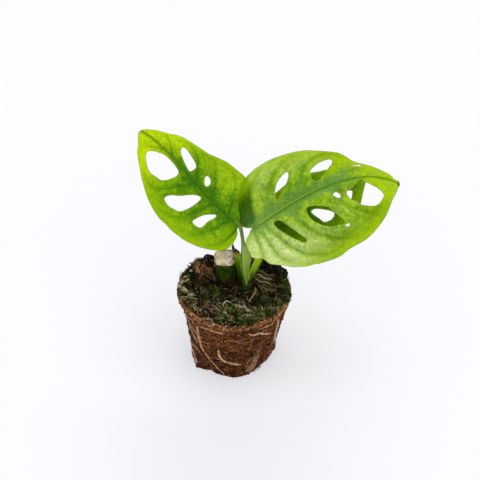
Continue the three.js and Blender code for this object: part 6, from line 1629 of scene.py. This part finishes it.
m = Mat("perlite_white")
o = m.obj()
n1 = m.noise(o, 1300.0, 4, 0.65)
n2 = m.cell(o, 2400.0)["Distance"]
tn = m.attr("pe_t")
col = m.mix(tn, m.ramp(n1, [(0.35, Cg(196, 190, 182)), (0.5, Cg(228, 226, 222)), (0.65, Cg(244, 243, 240))]), m.ramp(n1, [(0.35, Cg(176, 140, 126)), (0.5, Cg(206, 172, 158)), (0.65, Cg(226, 200, 188))]))
col = m.mix(m.mul(m.step(n2, 0.25, 0.08), 0.4), col, Cg(120, 108, 92))
m.set(Base_Color=col, Roughness=0.85, Normal=m.bump(m.add(n1, m.mul(n2, 0.7)), 0.7, 0.0002))
m.set(Subsurface_Weight=0.08, Subsurface_Scale=0.0006, Specular_IOR_Level=0.2)
mat_perlite = m.m
for k, (x, y, h, pink) in enumerate(((-14.6, 23.4, 0.8, 0), (-13.6, 20.3, 0.7, 0.15), (-22.6, 12.6, 0.75, 1))):
    v, f = _ico(3)
    d1, t1 = cells3(v * 1.6 + k, 1201 + k)
    P = v * (1 + 0.28 * fbm(v * 1.4 + k * 5, 3, 0.55, 1211 + k) + 0.28 * (0.45 - d1))[:, None] * h * np.array([1.1, 1, 1])
    zz = float(moss_height(np.array([x]), np.array([y]))[0]) + 1.2 * h + 0.3
    make("perlite_grain_%d_piece" % (k + 1), P + np.array([x, y, zz]), [f], mat_perlite, ["perlite_grain_%d" % (k + 1)], {"pe_t": np.full(len(v), float(pink))})
# smaller grains in the soil
rng = np.random.default_rng(617)
pts = [(-25.6, 6.4, .5), (-27.0, 4.2, .42), (-12.0, 23.0, .4), (-1.5, -21.8, .34), (3.0, -12.0, .3), (-13.5, -15.0, .36), (9.5, -17.0, .3), (-19.0, -9.0, .32), (22.0, -6.0, .3), (-7.5, 0.5, .32), (16.5, 22.5, .4), (-4.0, 24.0, .4), (24.5, 14.0, .35)]
heap = Heap()
for x, y, h in pts:
    z = surface(np.array([x]), np.array([y]))[0] + h * 0.9
    V, F, per = crumbs(rng, np.array([[x, y, z]]), np.array([h]), 2, 0.3)
    heap.add(V, [F], pe_t=rng.random() * 0.8)
heap.make("perlite_small", mat_perlite, "perlite")


# ------------------------------------------------------------- floor and light
floor_mat = Mat("floor_pale")
fo = floor_mat.obj()
fx, fy, fz = floor_mat.xyz(fo)
# painted shadow: a soft darker band on the floor in front of the plug
fa = floor_mat.math("DIVIDE", floor_mat.math("ADD", fx, 0.002), 0.062)
near = floor_mat.mul(floor_mat.math("EXPONENT", floor_mat.mul(floor_mat.mul(fa, fa), -1.0)), floor_mat.mul(floor_mat.step(fy, -0.022, -0.062), floor_mat.step(fy, -0.40, -0.15)))
floor_mat.set(Base_Color=floor_mat.mix(near, floor_mat.mix(floor_mat.noise(fo, 1.2, 2), Cg(178, 178, 181), Cg(181, 181, 184)), Cg(160, 162, 165)), Roughness=0.75, Specular_IOR_Level=0.05)
floor_mat.set(Emission_Color=Cg(250, 250, 255), Emission_Strength=0.525)
me = bpy.data.meshes.new("floor")
S = 40.0
me.from_pydata([(-S, -S, 0), (S, -S, 0), (S, S, 0), (-S, S, 0)], [], [(0, 1, 2, 3)])
me.materials.append(floor_mat.m)
floor = bpy.data.objects.new("floor", me)
bpy.context.scene.collection.objects.link(floor)

world = bpy.data.worlds.new("studio")
world.use_nodes = True
world.node_tree.nodes["Background"].inputs[0].default_value = (0.97, 0.985, 1.0, 1)
world.node_tree.nodes["Background"].inputs[1].default_value = 0.62
bpy.context.scene.world = world


def sun(name, strength, angle, direction, colour=(1, 1, 1)):
    d = bpy.data.lights.new(name, "SUN")
    d.energy = strength
    d.angle = math.radians(angle)
    d.color = colour
    o = bpy.data.objects.new(name, d)
    o.rotation_mode = "QUATERNION"
    o.rotation_quaternion = Vector(direction).to_track_quat("-Z", "Y")
    bpy.context.scene.collection.objects.link(o)


sun("key", 0.95, 38, (-0.08, -0.20, -1.0), (1.0, 0.99, 0.97))
sun("soft_front", 0.75, 80, (-0.15, 0.85, -0.75), (1.0, 0.99, 0.97))

camera = bpy.data.cameras.new("camera")
camera.lens = 100
camera.sensor_width = 36
camera.clip_start, camera.clip_end = 0.05, 80
view = bpy.data.objects.new("camera", camera)
view.location = (0.0033736, -0.530455, 0.498562)
view.rotation_euler = (math.radians(51.5), 0, 0)
bpy.context.scene.collection.objects.link(view)
bpy.context.scene.camera = view
bpy.context.scene.view_settings.view_transform = "Standard"
bpy.context.scene.view_settings.look = "None"
